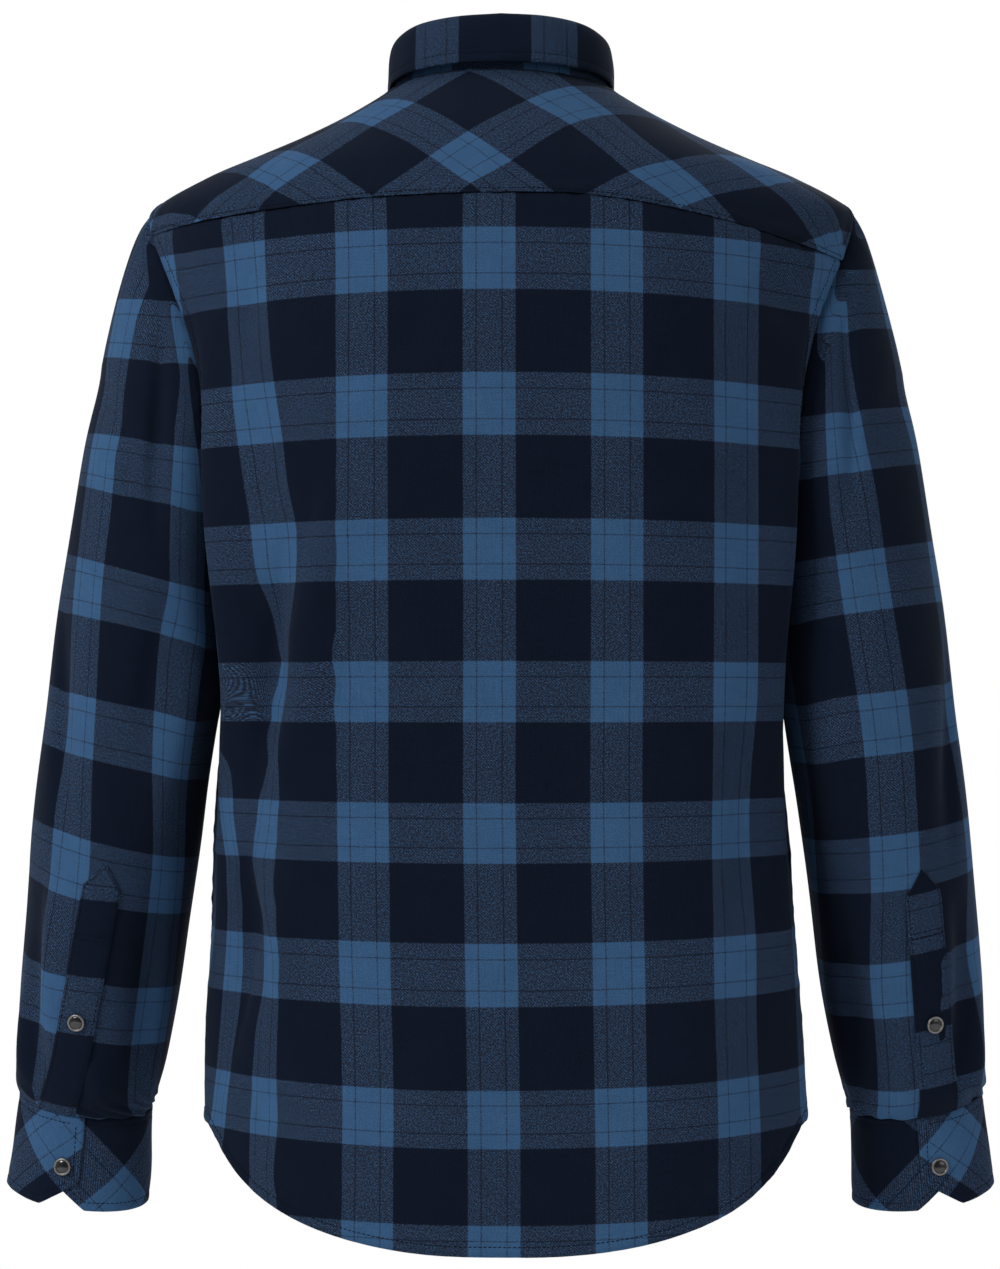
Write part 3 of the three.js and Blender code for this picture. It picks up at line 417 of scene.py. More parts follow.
# The back: one straight-cut panel from the yoke seam to the curved shirt-tail hem. Its side and
# armhole edges are flat-felled, and the hem is turned up twice and stitched.
ARMHOLE_TOP_Z, ARMHOLE_LOW_Z = -77.0, -312.0
ARMHOLE_BACK, ARMHOLE_FRONT, ARMHOLE_EGG = 66.0, 62.0, 0.1
ARMHOLE_MID_Z = (ARMHOLE_TOP_Z + ARMHOLE_LOW_Z) / 2
ARMHOLE_HALF_Z = (ARMHOLE_TOP_Z - ARMHOLE_LOW_Z) / 2
YOKE_SEAM = np.array([
    # place across, z
    (1, -97), (0.83, -92), (0.62, -87), (0.33, -81.5), (0, -79.3),
    (-0.27, -81), (-0.58, -91.5), (-0.87, -107), (-1, -114),
])
FELL_WIDTH = 8.0
HEM_WIDTH = 7.0
WEFT_LEVELS = np.array([
    # z at the centre back, place in the weave
    (60, 160), (-102, 0), (-193, -90.5), (-283.6, -181), (-372.8, -271.5),
    (-462, -362), (-550, -452.5), (-642, -543), (-726.2, -633.5), (-800, -708),
])
WARP_MIDDLE = 7.5


def armhole_yz(phi):
    depth = np.where(phi >= 0, ARMHOLE_BACK, ARMHOLE_FRONT)
    y = depth * np.sin(phi) * (1 - ARMHOLE_EGG * np.cos(phi))
    return y, ARMHOLE_MID_Z + ARMHOLE_HALF_Z * np.cos(phi)


def armhole_spots(side, phi):
    y, z = armhole_yz(np.asarray(phi, float))
    return spots(turn_at_y(y, z, side), z)


def yoke_corner(side):
    return np.arccos((YOKE_SEAM[0 if side > 0 else -1, 1] - ARMHOLE_MID_Z) / ARMHOLE_HALF_Z)


def back_seam(across):
    ends = [body_point(*armhole_spots(side, yoke_corner(side)))[0] for side in (1, -1)]
    x = np.where(across > 0, ends[0] * across, -ends[1] * across)
    z = row_at(YOKE_SEAM, across)[..., 1]
    return spots(turn_at_x(x, z, True), z)


LEVELS = np.linspace(-765, 12, 330)
TURNS = np.radians(np.linspace(-200, 200, 1601))
level_points = body_point(TURNS[None, :], LEVELS[:, None])
level_arcs = arc_from(level_points, 1)


def girth(turn, z):
    """Distance round the body from the -200 degree line to a turn, at a height."""
    row = np.clip((z - LEVELS[0]) / (LEVELS[1] - LEVELS[0]), 0, len(LEVELS) - 1.001)
    column = np.clip((turn - TURNS[0]) / (TURNS[1] - TURNS[0]), 0, len(TURNS) - 1.001)
    j, i = row.astype(int), column.astype(int)
    v, u = row - j, column - i
    low = level_arcs[j, i] * (1 - u) + level_arcs[j, i + 1] * u
    high = level_arcs[j + 1, i] * (1 - u) + level_arcs[j + 1, i + 1] * u
    return low * (1 - v) + high * v


def body_weave(at, points, middle):
    """Place in the weave of a straight-cut body panel, across from its middle line."""
    turn, z = at[..., 0], at[..., 1]
    across = girth(np.full_like(z, middle), z) - girth(turn, z)
    bow = np.interp(-z, [160, 400, 640], [6.5, 0, -6.5])
    level = z + bow * np.minimum(np.abs(points[..., 0]) / 160, 1.25) ** 2
    along = np.interp(-level, -WEFT_LEVELS[:, 0], WEFT_LEVELS[:, 1])
    return np.stack([across, along + WEFT_LIGHT / 2], -1)


def eased(sites, values, at):
    """A smooth map through given values at given places, level between and beyond them."""
    def bend(a, b):
        square = np.sum((a[:, None] - b[None]) ** 2, -1)
        return square * np.log(np.maximum(square, 1e-9)) / 2

    count = len(sites)
    matrix = np.zeros((count + 3, count + 3))
    matrix[:count, :count] = bend(sites, sites) + np.eye(count) * 60.0
    matrix[:count, count] = matrix[count, :count] = 1.0
    matrix[:count, count + 1:] = sites
    matrix[count + 1:, :count] = sites.T
    weights = np.linalg.solve(matrix, np.concatenate([values, np.zeros((3, values.shape[1]))]))
    flat = at.reshape(-1, 2)
    found = bend(flat, sites) @ weights[:count] + weights[count] + flat @ weights[count + 1:]
    return found.reshape(*at.shape[:-1], -1)


PHOTO_MIDDLE_X, PHOTO_EYE_Y, PHOTO_EYE_Z = 501, 690, -391.0
FOLD_PX_PER_MM = 1.575
FOLD_ROWS = [
    # photo row, left and right edge of the stripe by the left fold, right edge of the next one
    (300, 226, 268, None), (365, 233, 272, None), (420, 236, 282, None), (452, 240, 286, None),
    (496, 246, 290, None), (530, 250, 296, None), (560, 256, 296, None), (584, 262, 295, None),
    (620, 273, 289, None), (640, 278, 286, None), (662, 281, 283, 212), (684, 278, 282, 215),
    (718, 273, 279, 221), (760, 264, 280, 226), (800, 254, 280, 230), (840, 250, 280, 234),
    (864, 248, 278, 237), (905, 256, 279, 240), (935, 258, 279, 239), (986, 260, 279, 238),
    (1030, 253, 279, 235), (1076, 252, 279, 230), (1118, 251, 278, 226), (1170, 250, 276, None),
]
FOLD_EDGE_PLACES = (96.5, 63.5, 143.5)
FOLD_SIDE_CHECKS = [
    # photo column and row towards the side seam, place past the stripe before the fold
    (199, 420, 121), (201, 496, 126), (205, 560, 131), (208, 620, 141),
]


def seen_place(column, photo_row):
    """Whole millimetres across and up on the back, from a place read off the photo."""
    x = round((PHOTO_MIDDLE_X - column) / FOLD_PX_PER_MM)
    return x, round(PHOTO_EYE_Z + (PHOTO_EYE_Y - photo_row) / FOLD_PX_PER_MM)


fold_checks = []
for photo_row, *edges in FOLD_ROWS:
    for edge, place in zip(edges, FOLD_EDGE_PLACES):
        if edge is not None:
            fold_checks.append((*seen_place(edge, photo_row), place))
for column, photo_row, place in FOLD_SIDE_CHECKS:
    fold_checks.append((*seen_place(column, photo_row), place))
fold_checks = np.array(fold_checks, float)
FOLD_STRIPE_X = 91.0
FOLD_LINES = [
    # depth, reach to the left and to the right, then x and z along the crease, seen from behind
    (-4.0, 12, 6, [
        (116, -255), (128, -310), (137, -355), (139, -387), (144, -410), (156, -461), (163, -500), (160, -540)]),
    (3.0, 7, 14, [(108, -265), (118, -312), (127, -352), (130, -385), (134, -410), (146, -458)]),
    (-4.5, 9, 6, [(166, -486), (162, -510), (156, -535), (153, -558), (155, -585), (163, -610)]),
    (2.5, 8, 12, [(158, -492), (154, -514), (147, -536), (144, -560)]),
    (-2.5, 9, 12, [(176, -100), (181, -130), (180, -155)]),
    (-3.0, 12, 10, [(-188, -118), (-190, -138), (-186, -160)]),
    (-2.5, 10, 14, [(-157, -398), (-160, -450), (-159, -500), (-156, -540)]),
    (2.0, 12, 14, [(-20, -560), (-34, -600), (-44, -640)]),
    (-2.0, 12, 12, [(40, -150), (60, -172), (92, -190)]),
]


def creases(points, lines):
    """Lift of soft folds along lines seen from behind, each fading out towards both ends."""
    lift = np.zeros(points.shape[:-1])
    place = points[..., [0, 2]]
    for depth, reach_left, reach_right, line in lines:
        line = np.array(line, float)
        bare = np.concatenate([[0], np.cumsum(np.linalg.norm(np.diff(line, axis=0), axis=1))])
        fine = np.linspace(0, bare[-1], 60)
        path = np.stack([np.interp(fine, bare, line[:, k]) for k in range(2)], 1)
        gap = place[..., None, :] - path
        nearest = np.argmin(np.sum(gap ** 2, -1), -1)
        away = np.take_along_axis(gap, nearest[..., None, None], -2)[..., 0, :]
        reach = np.where(away[..., 0] > 0, reach_left, reach_right)
        fade = np.sin(np.pi * np.clip((nearest + 1) / 61, 0, 1)) ** 0.7
        lift += depth * fade * np.exp(-np.sum((away / reach[..., None]) ** 2, -1))
    return lift


BACK_COLUMNS, BACK_ROWS = 170, 210


def back_edge(side):
    low = armhole_spots(side, np.array([np.pi]))[0]
    seam = spots(low[0], np.linspace(SIDE_HEM_Z, low[1], 40))
    hole = armhole_spots(side, np.linspace(np.pi, yoke_corner(side), 60)[1:])
    return spread(np.concatenate([seam, hole]), BACK_ROWS)


back_left, back_right = back_edge(1), back_edge(-1)
seam_turns = np.linspace(back_left[0, 0], back_right[0, 0], BACK_COLUMNS)
back_hem = spots(seam_turns, hem_z(seam_turns))
back_top = back_seam(np.linspace(1, -1, BACK_COLUMNS))
back_left[-1], back_right[-1] = back_top[0], back_top[-1]
back_spots = fill(back_hem, back_top, back_left, back_right, 1800)
back_flat = body_point(back_spots[..., 0], back_spots[..., 1])
back_normals = surface_normals(back_flat)
to_side = np.minimum(arc_from(back_flat, 1), arc_from(back_flat, 1, back=True))
to_yoke = arc_from(back_flat, 0, back=True)
to_hem = arc_from(back_flat, 0)
above_underarm = smooth((back_flat[..., 2] - ARMHOLE_LOW_Z) / 6 + 0.5)


def felled(distance, width, rise=0.5):
    """A doubled seam allowance with its row of stitches pressed in."""
    return rise * smooth((width + 1.5 - distance) / 3) - 0.45 * np.exp(-(((distance - width) / 1.1) ** 2))


def puckers(seed, along, distance, reach, height, wave):
    """The small waves that a row of stitches draws up beside itself."""
    return height * ripple(seed, along / wave) * np.exp(-((distance / reach) ** 2))


along_side = arc_from(back_flat, 0)
along_yoke = arc_from(back_flat, 1)
back_lift = (
    felled(to_side, FELL_WIDTH) * above_underarm
    + puckers(11, along_side, to_side - FELL_WIDTH, 9, 0.5, 9) * above_underarm
    + puckers(12, along_side, to_side, 10, 0.45, 11) * (1 - above_underarm)
    - 1.0 * np.exp(-((to_yoke / 2.2) ** 2))
    + puckers(13, along_yoke, to_yoke, 11, 0.45, 11)
    + felled(to_hem, HEM_WIDTH - 1, 0.6)
    + puckers(14, along_yoke, to_hem - HEM_WIDTH, 8, 0.55, 9)
    + 0.55 * ripple(15, back_flat[..., 0] / 60, back_flat[..., 2] / 120)
    + creases(back_flat, FOLD_LINES)
)
back_points = back_flat + back_normals * back_lift[..., None]
back_normals = surface_normals(back_points)
back_weave = body_weave(back_spots, back_flat, np.pi / 2)
back_weave[..., 0] -= WARP_MIDDLE
flat_places = back_flat.reshape(-1, 3)[:, [0, 2]]
nearest = [int(np.argmin(np.sum((flat_places - row[:2]) ** 2, 1))) for row in fold_checks]
before = back_weave.reshape(-1, 2)[nearest, 0]
at_stripe = int(np.argmin(np.sum((flat_places - (FOLD_STRIPE_X, -330)) ** 2, 1)))
stripe_before = WARP_PERIOD * round(back_weave.reshape(-1, 2)[at_stripe, 0] / WARP_PERIOD)
moved = (stripe_before + fold_checks[:, 2] - before)[:, None]
held = np.array([(x, z) for x in (20, 72, 89, 106) for z in range(-130, -770, -32)], float)
sites = np.concatenate([fold_checks[:, :2], held])
moves = np.concatenate([moved, np.zeros((len(held), 1))])
shift = eased(sites, moves, back_flat[..., [0, 2]])[..., 0]
back_weave[..., 0] += shift * smooth((back_flat[..., 0] - 35) / 30)
back_panel = cloth_wall(
    "back_panel", back_points, back_normals, CLOTH, back_weave, flannel, ["back"])


# The yoke: a bias-cut panel over the shoulder blades and shoulders, from the back seam over the
# top to a seam a little before the shoulder line. Its edges are folded under and topstitched
# onto the back and the fronts.
NECK_HALF_WIDTH, NECK_BACK, NECK_FRONT = 70.0, 62.0, 68.0
ARMHOLE_YOKE_DEG, FRONT_YOKE_DEG = -36.0, -30.0
YOKE_COLUMNS, YOKE_ROWS = 193, 49


def spot_above(x, y):
    low, high = np.full(np.shape(x), ARMHOLE_TOP_Z), np.full(np.shape(x), 12.0)
    for _ in range(40):
        z = (low + high) / 2
        half, depth, square, _, _ = body_section(z, y >= 0)
        inside = np.abs(x / half) ** square + np.abs(y / depth) ** square < 1
        low, high = np.where(inside, z, low), np.where(inside, high, z)
    half, depth, _, _, _ = body_section(low, y >= 0)
    return spots(np.arctan2(y / depth, x / half), low)


def onward(path):
    path = path.copy()
    path[..., 0] = np.where(path[..., 0] < -np.pi / 2, path[..., 0] + 2 * np.pi, path[..., 0])
    return path


def neck_spots(deg):
    c, s = np.cos(np.radians(deg)), np.sin(np.radians(deg))
    return spot_above(NECK_HALF_WIDTH * c, np.where(s > 0, NECK_BACK, NECK_FRONT) * s)


def front_seam(side, t):
    hole_y, hole_z = armhole_yz(np.radians(ARMHOLE_YOKE_DEG))
    deg = FRONT_YOKE_DEG if side > 0 else 180 - FRONT_YOKE_DEG
    neck_y = NECK_FRONT * math.sin(math.radians(deg))
    z = hole_z + (neck_spots(np.array([deg]))[0, 1] - hole_z) * t
    return spots(turn_at_y(hole_y + (neck_y - hole_y) * t, z, side), z)


def yoke_end(side):
    return onward(front_seam(side, np.linspace(0, 1, YOKE_ROWS)))


yoke_hole = {}
for side in (1, -1):
    phi = np.linspace(yoke_corner(side), math.radians(ARMHOLE_YOKE_DEG), 50)
    yoke_hole[side] = onward(armhole_spots(side, phi))
yoke_behind = onward(back_seam(np.linspace(1, -1, 160)))[1:-1]
yoke_outer = np.concatenate([yoke_hole[1][::-1], yoke_behind, yoke_hole[-1]])
yoke_outer = spread(yoke_outer, YOKE_COLUMNS)
yoke_inner = onward(neck_spots(np.linspace(FRONT_YOKE_DEG, 180 - FRONT_YOKE_DEG, YOKE_COLUMNS)))
yoke_left, yoke_right = yoke_end(1), yoke_end(-1)
yoke_outer[0], yoke_outer[-1] = yoke_left[0], yoke_right[0]
yoke_inner[0], yoke_inner[-1] = yoke_left[-1], yoke_right[-1]
yoke_spots = fill(yoke_outer, yoke_inner, yoke_left, yoke_right, 400)
yoke_flat = body_point(yoke_spots[..., 0], yoke_spots[..., 1])
yoke_normals = surface_normals(yoke_flat)


def resample_grid(grid, rows, columns):
    at = np.linspace(0, grid.shape[0] - 1, rows)
    j = np.minimum(at.astype(int), grid.shape[0] - 2)
    tall = grid[j] + (grid[j + 1] - grid[j]) * (at - j)[:, None, None]
    at = np.linspace(0, grid.shape[1] - 1, columns)
    i = np.minimum(at.astype(int), grid.shape[1] - 2)
    return tall[:, i] + (tall[:, i + 1] - tall[:, i]) * (at - i)[None, :, None]


def unrolled(points, rounds=900):
    """The grid laid flat with its edge lengths kept, as the panel is cut."""
    coarse = points[::4, ::6]
    x, y, z = coarse[..., 0], coarse[..., 1], coarse[..., 2]
    laid = np.stack([x, -y + 0.9 * z * np.tanh(y / 25)], -1)
    pairs = []
    nj, ni = laid.shape[:2]
    for dj, di in ((0, 1), (1, 0), (1, 1), (1, -1)):
        a = (slice(0, nj - dj), slice(max(0, -di), ni - max(0, di)))
        b = (slice(dj, nj), slice(max(0, di), ni + min(0, di)))
        pairs.append((a, b, np.linalg.norm(coarse[a] - coarse[b], axis=-1)))
    for _ in range(rounds):
        push = np.zeros_like(laid)
        for a, b, length in pairs:
            gap = laid[b] - laid[a]
            now = np.linalg.norm(gap, axis=-1)
            step = gap * ((now - length) / np.maximum(now, 1e-6))[..., None] * 0.11
            push[a] += step
            push[b] -= step
        laid += push
    return resample_grid(laid, *points.shape[:2])


def bias_weave(laid, stretch=1.0):
    """Weave of a piece cut at 45 degrees, from its flat form measured from a light check's middle."""
    right, up = laid[..., 0], laid[..., 1] * stretch
    return np.stack([(right + up), (up - right)], -1) * math.sqrt(0.5)


YOKE_CHECKS = np.array([
    # x and z where the edges of light stripes cross, place in the warp, place in the weft
    (20, 6, -63.5, 71), (-16, -18, -63.5, 19.5), (21, -39, -16.5, 19.5), (56, -16, -16.5, 71),
    (46, -55, 16.5, 19.5), (-8, -59, -16.5, -19.5), (18, -75, 16.5, -19.5), (-43, -35, -63.5, -19.5),
    (-46, -5, -96.5, 19.5), (-71, -24, -96.5, -19.5), (-81, -66, -63.5, -71), (-107, -56, -96.5, -71),
    (-114, -88, -63.5, -110), (-133, -80, -96.5, -110), (-138, -48, -143.5, -71), (-168, -71, -143.5, -110),
    (-189, -66, -176.5, -110), (-198, -103, -143.5, -161.5), (-218, -94, -176.5, -161.5), (81, -32, 16.5, 71),
    (114, -56, 63.5, 71), (82, -81, 63.5, 19.5), (137, -46, 63.5, 110), (162, -65, 96.5, 110),
    (141, -76, 96.5, 71), (193, -90, 143.5, 110),
])
yoke_laid = unrolled(yoke_flat)


def laid_at(x, z):
    """Flat place of the yoke's grid point nearest to a place seen from behind."""
    unseen = np.where(yoke_normals[..., 1] > 0.05, 0, 1e6)
    far = np.hypot(yoke_flat[..., 0] - x, yoke_flat[..., 2] - z) + unseen
    return yoke_laid.reshape(-1, 2)[np.argmin(far)]


check_sites = np.array([laid_at(row[0], row[1]) for row in YOKE_CHECKS])
yoke_weave = eased(check_sites, YOKE_CHECKS[:, 2:], yoke_laid)
yoke_from_seam = arc_from(yoke_flat, 0)
yoke_from_neck = arc_from(yoke_flat, 0, back=True)
yoke_from_end = np.minimum(arc_from(yoke_flat, 1), arc_from(yoke_flat, 1, back=True))
along_seam = arc_from(yoke_flat, 1)
yoke_lift = (
    0.75 * smooth((9 - yoke_from_seam) / 3)
    - 0.4 * np.exp(-(((yoke_from_seam - 2.2) / 0.9) ** 2))
    + puckers(21, along_seam, yoke_from_seam - 4, 10, 0.4, 12)
    + 0.5 * smooth((9 - yoke_from_end) / 3)
    - 0.4 * np.exp(-(((yoke_from_end - 2.2) / 0.9) ** 2))
    + puckers(22, along_seam, yoke_from_neck, 9, 0.35, 12)
    + 0.45 * ripple(23, yoke_flat[..., 0] / 70, yoke_flat[..., 1] / 60)
)
yoke_points = yoke_flat + yoke_normals * yoke_lift[..., None]
yoke_normals = surface_normals(yoke_points)
yoke_panel = cloth_wall(
    "yoke_panel", yoke_points, yoke_normals, CLOTH, yoke_weave, flannel_bias, ["yoke"])


# The fronts: two straight-cut panels that the photo doesn't show, finished plainly. The one on
# the wearer's left laps over the other, and its edge is under the placket.
PLACKET_WIDTH = 34.0
FRONT_COLUMNS, FRONT_ROWS = 92, 190
UNDERLAP = 2.1
UNDERLAP_START_X = -PLACKET_WIDTH / 2 - 26
UNDERLAP_SLOPE = 22.0
FRONT_EDGE_DEG = -90 - math.degrees(math.asin(PLACKET_WIDTH / 2 / NECK_HALF_WIDTH))


def make_front(side):
    over = side > 0
    edge_x = -side * PLACKET_WIDTH / 2
    side_turn = 0.0 if over else -np.pi
    low = armhole_spots(side, np.array([-np.pi + 1e-4]))[0]
    seam = spots(side_turn, np.linspace(SIDE_HEM_Z, low[1], 40))
    hole = armhole_spots(side, np.linspace(-np.pi, math.radians(ARMHOLE_YOKE_DEG), 60)[1:])
    side_edge = spread(np.concatenate([seam, hole]), FRONT_ROWS)
    degrees = np.linspace(FRONT_YOKE_DEG, FRONT_EDGE_DEG, 40)[1:]
    arc = neck_spots(degrees if over else -180 - degrees)
    top = spread(np.concatenate([front_seam(side, np.linspace(0, 1, 40)), arc]), FRONT_COLUMNS)
    reach = float(turn_at_x(edge_x, SIDE_HEM_Z - FRONT_TAIL, False))
    turns = np.linspace(side_turn, reach, FRONT_COLUMNS)
    bottom = spots(turns, hem_z(turns))
    side_edge[-1] = top[0]
    z = np.linspace(bottom[-1, 1], top[-1, 1], FRONT_ROWS)
    middle = spots(turn_at_x(edge_x, z, False), z)
    middle[-1] = top[-1]
    at = fill(bottom, top, side_edge, middle, 1500)
    flat = body_point(at[..., 0], at[..., 1])
    weave = body_weave(at, flat, -np.pi / 2)
    weave[..., 0] += WARP_PERIOD / 2
    if over:
        flat, weave = flat[:, ::-1], weave[:, ::-1]
    normals = surface_normals(flat)
    dip = 0.0 if over else UNDERLAP * smooth((flat[..., 0] - UNDERLAP_START_X) / UNDERLAP_SLOPE)
    from_side = arc_from(flat, 1, back=over)
    from_hem, from_top = arc_from(flat, 0), arc_from(flat, 0, back=True)
    up, along = arc_from(flat, 0), arc_from(flat, 1)
    armhole = smooth((flat[..., 2] - ARMHOLE_LOW_Z) / 6 + 0.5)
    lift = (
        felled(from_side, FELL_WIDTH) * armhole
        + puckers(31 + side, up, from_side - FELL_WIDTH, 9, 0.5, 9) * armhole
        + puckers(34 + side, up, from_side, 10, 0.45, 11) * (1 - armhole)
        - 1.0 * np.exp(-((from_top / 2.2) ** 2)) * smooth((np.abs(flat[..., 0]) - 60) / 10)
        + felled(from_hem, HEM_WIDTH - 1, 0.6)
        + puckers(37 + side, along, from_hem - HEM_WIDTH, 8, 0.55, 9)
        + 0.55 * ripple(40 + side, flat[..., 0] / 60, flat[..., 2] / 120)
        - dip
    )
    points = flat + normals * lift[..., None]
    normals = surface_normals(points)
    word = "left" if over else "right"
    made = cloth_wall(
        f"front_{word}_panel", points, normals, CLOTH, weave, flannel, [f"front_{word}"])
    return made, points, normals


front_left, front_left_points, front_left_normals = make_front(1)
_, front_right_points, front_right_normals = make_front(-1)


# The front placket: a straight strip, interlined and stitched down both long edges of the
# overlapping front. It carries the caps of the press snaps.
PLACKET_LIFT = 2.0
PLACKET_CLOTH = 1.3
placket_x = np.linspace(-PLACKET_WIDTH / 2, PLACKET_WIDTH / 2, 25)
placket_top = spot_above(placket_x, np.full(25, -NECK_FRONT))[:, 1] - 0.3
placket_low = hem_z(turn_at_x(placket_x, np.full(25, SIDE_HEM_Z - FRONT_TAIL), False))
placket_z = placket_low[None] + (placket_top - placket_low)[None] * np.linspace(0, 1, 190)[:, None]
placket_at = spots(turn_at_x(placket_x[None], placket_z, False), placket_z)
placket_flat = body_point(placket_at[..., 0], placket_at[..., 1])
placket_normals = surface_normals(placket_flat)
placket_edge = np.minimum(placket_x + PLACKET_WIDTH / 2, PLACKET_WIDTH / 2 - placket_x)[None]
placket_lift = (
    PLACKET_LIFT
    - 0.4 * np.exp(-(((placket_edge - 5.5) / 0.9) ** 2))
    + puckers(51, placket_z, placket_edge - 5, 5, 0.25, 9)
    + 0.3 * ripple(52, placket_z / 80, placket_x[None] / 60)
)
placket_points = placket_flat + placket_normals * placket_lift[..., None]
placket_normals = surface_normals(placket_points)
placket_weave = body_weave(placket_at, placket_flat, -np.pi / 2)
placket_weave[..., 0] += WARP_PERIOD / 2
front_placket = cloth_wall(
    "front_placket_strip", placket_points, placket_normals, PLACKET_CLOTH, placket_weave,
    flannel, ["front_placket"])


# The collar: a shaped stand sewn round the neck, and a fall that folds down over it. Both are
# two layers of flannel with a stiffening between, and the fall is topstitched near its edges.
COLLAR = np.array([
    # degrees round the neck, top x, y, z, edge x, y, z
    (90, 0, 53, 41, 0, 69.5, 9.5),
    (65, 27.5, 48, 40, 31, 64, 9),
    (40, 49, 35, 37.5, 56, 47, 6.5),
    (18, 60, 18, 33.5, 68.5, 23, 3.5),
    (0, 64, 0, 28.5, 71.8, -2, 1.8),
    (-25, 59, -26, 18, 73.5, -34, -8),
    (-50, 40, -48, 5, 70, -64, -34),
    (-70, 21, -59.5, -4, 60, -86, -63),
    (-82, 8, -63.5, -8, 46, -104, -96),
])
STAND_TOP = (64.0, 53.0, 64.0)
FALL_ROLL, FALL_RISE, FALL_LIFT = 9.5, 4.0, 1.2
FALL_STITCH = 6.0
BAND_CLOTH, FALL_CLOTH = 1.4, 1.7


def collar_row(deg):
    folded = np.where(deg > 90, 180 - deg, deg)
    return row_at(COLLAR, np.maximum(folded, -82)), np.where(deg > 90, -1.0, 1.0)


def stand_point(deg, t):
    spot = neck_spots(deg)
    base = body_point(spot[..., 0], spot[..., 1])
    base[..., 2] = spot[..., 1] + 0.3
    c, s = np.cos(np.radians(deg)), np.sin(np.radians(deg))
    row, _ = collar_row(deg)
    top = np.stack([STAND_TOP[0] * c, np.where(s > 0, STAND_TOP[1], STAND_TOP[2]) * s, row[..., 3] - 0.5], -1)
    return base + (top - base) * t[..., None]


stand_ends = (FRONT_EDGE_DEG, 180 - FRONT_EDGE_DEG)
stand_deg = np.linspace(*stand_ends, 181)[None, :] + np.zeros((13, 1))
rounded = np.maximum(0, 1 - np.minimum(stand_deg - stand_ends[0], stand_ends[1] - stand_deg) / 7)
stand_t = np.linspace(-0.1, 1, 13)[:, None] * (1 - 0.45 * rounded ** 2)
stand_turn = np.radians(stand_deg)
stand_out = np.stack([np.cos(stand_turn), np.sin(stand_turn), np.full_like(stand_deg, 0.15)], -1)
stand_out /= np.linalg.norm(stand_out, axis=-1, keepdims=True)
stand_dip = UNDERLAP * smooth((stand_deg - 240) / 14)
stand_points = stand_point(stand_deg, stand_t) - stand_out * stand_dip[..., None]
stand_weave = np.stack([-arc_from(stand_points, 1), arc_from(stand_points, 0)], -1)
stand_weave[..., 0] -= stand_weave[:, 90:91, 0] + 49
stand_normals = surface_normals(stand_points)
stand = cloth_wall(
    "collar_stand_band", stand_points, stand_normals, BAND_CLOTH, stand_weave, flannel,
    ["collar_stand"])


def fall_point(deg, t):
    row, mirror = collar_row(deg)
    top = np.stack([row[..., 1] * mirror, row[..., 2], row[..., 3] + 0.4], -1)
    edge = np.stack([row[..., 4] * mirror, row[..., 5], row[..., 6] + FALL_LIFT], -1)
    away = (edge - top) * (1.0, 1.0, 0.0)
    away /= np.linalg.norm(away, axis=-1, keepdims=True)
    bend = top + away * FALL_ROLL
    bend[..., 2] = top[..., 2] + FALL_RISE
    t = t[..., None]
    under = top + (bend - top) * t
    return under + (bend + (edge - bend) * t - under) * t


fall_deg = np.linspace(-82, 262, 221)[None, :] + np.zeros((41, 1))
fall_t = np.linspace(1, 0, 41)[:, None] ** 1.35 + np.zeros_like(fall_deg)
fall_inner = fall_point(fall_deg, fall_t)
fall_normals = surface_normals(fall_inner)
fall_from_edge = arc_from(fall_inner, 0)
fall_from_end = np.minimum(arc_from(fall_inner, 1), arc_from(fall_inner, 1, back=True))
fall_from_rim = np.minimum(fall_from_edge, fall_from_end)
fall_lift = 1.8 - 0.35 * np.exp(-(((fall_from_rim - FALL_STITCH) / 1.0) ** 2)) + 0.25 * ripple(
    61, arc_from(fall_inner, 1) / 70, fall_from_edge / 50)
fall_points = fall_inner + fall_normals * fall_lift[..., None]
fall_normals = surface_normals(fall_points)
fall_weave = np.stack([-arc_from(fall_points, 1), fall_from_edge], -1)
fall_weave[..., 0] -= fall_weave[:, 110:111, 0] + WARP_PERIOD / 2 + 4.0
fall_weave[..., 1] += WEFT_LIGHT / 2 + 0.7
fall = cloth_wall(
    "collar_fall_leaf", fall_points, fall_normals, FALL_CLOTH, fall_weave, flannel,
    ["collar_fall"])


# The sleeves: one straight-cut piece each, set into the armhole and closed by a felled seam
# under the arm. They hang a little forward, and are pleated into the cuffs.
ARMHOLE_SETTLE = 5.0
SLEEVE = np.array([
    # ring, outer x and z, inner x and z, middle y, back, front, egg, dip
    (0, 226, -77, 168, -312, 0, 66, 62, 0.1, 0),
    (1, 236, -92, 171.5, -316.5, 0, 69, 65, 0.09, 0),
    (2, 246, -120, 174, -325, 0, 71, 67, 0.07, 0),
    (3, 257, -161, 176, -340, 0, 71, 67, 0.05, 0),
    (4, 267.5, -209, 178.5, -361, 0, 70.5, 67, 0.03, 0),
    (5, 278, -268, 181, -388, -1, 69, 66, 0.02, 0),
    (6, 288, -331, 186.5, -420, -5, 67.5, 65, 0, 1),
    (7, 297.5, -399, 193, -457, -11, 65.5, 63, 0, 3),
    (8, 306, -463, 198.5, -495, -17, 63, 61, 0, 5),
    (9, 312.5, -520, 205, -540, -24, 60, 58, 0, 7),
    (10, 317, -575, 212, -589, -30.5, 57, 55, 0, 8),
    (11, 319.5, -619, 220, -632, -35.5, 53, 51, 0, 9),
    (12, 320.5, -643, 226.5, -655, -37.5, 47, 45, 0, 9),
    (13, 318.5, -654.4, 230.5, -666.3, -38, 38, 36, 0, 9),
], float)
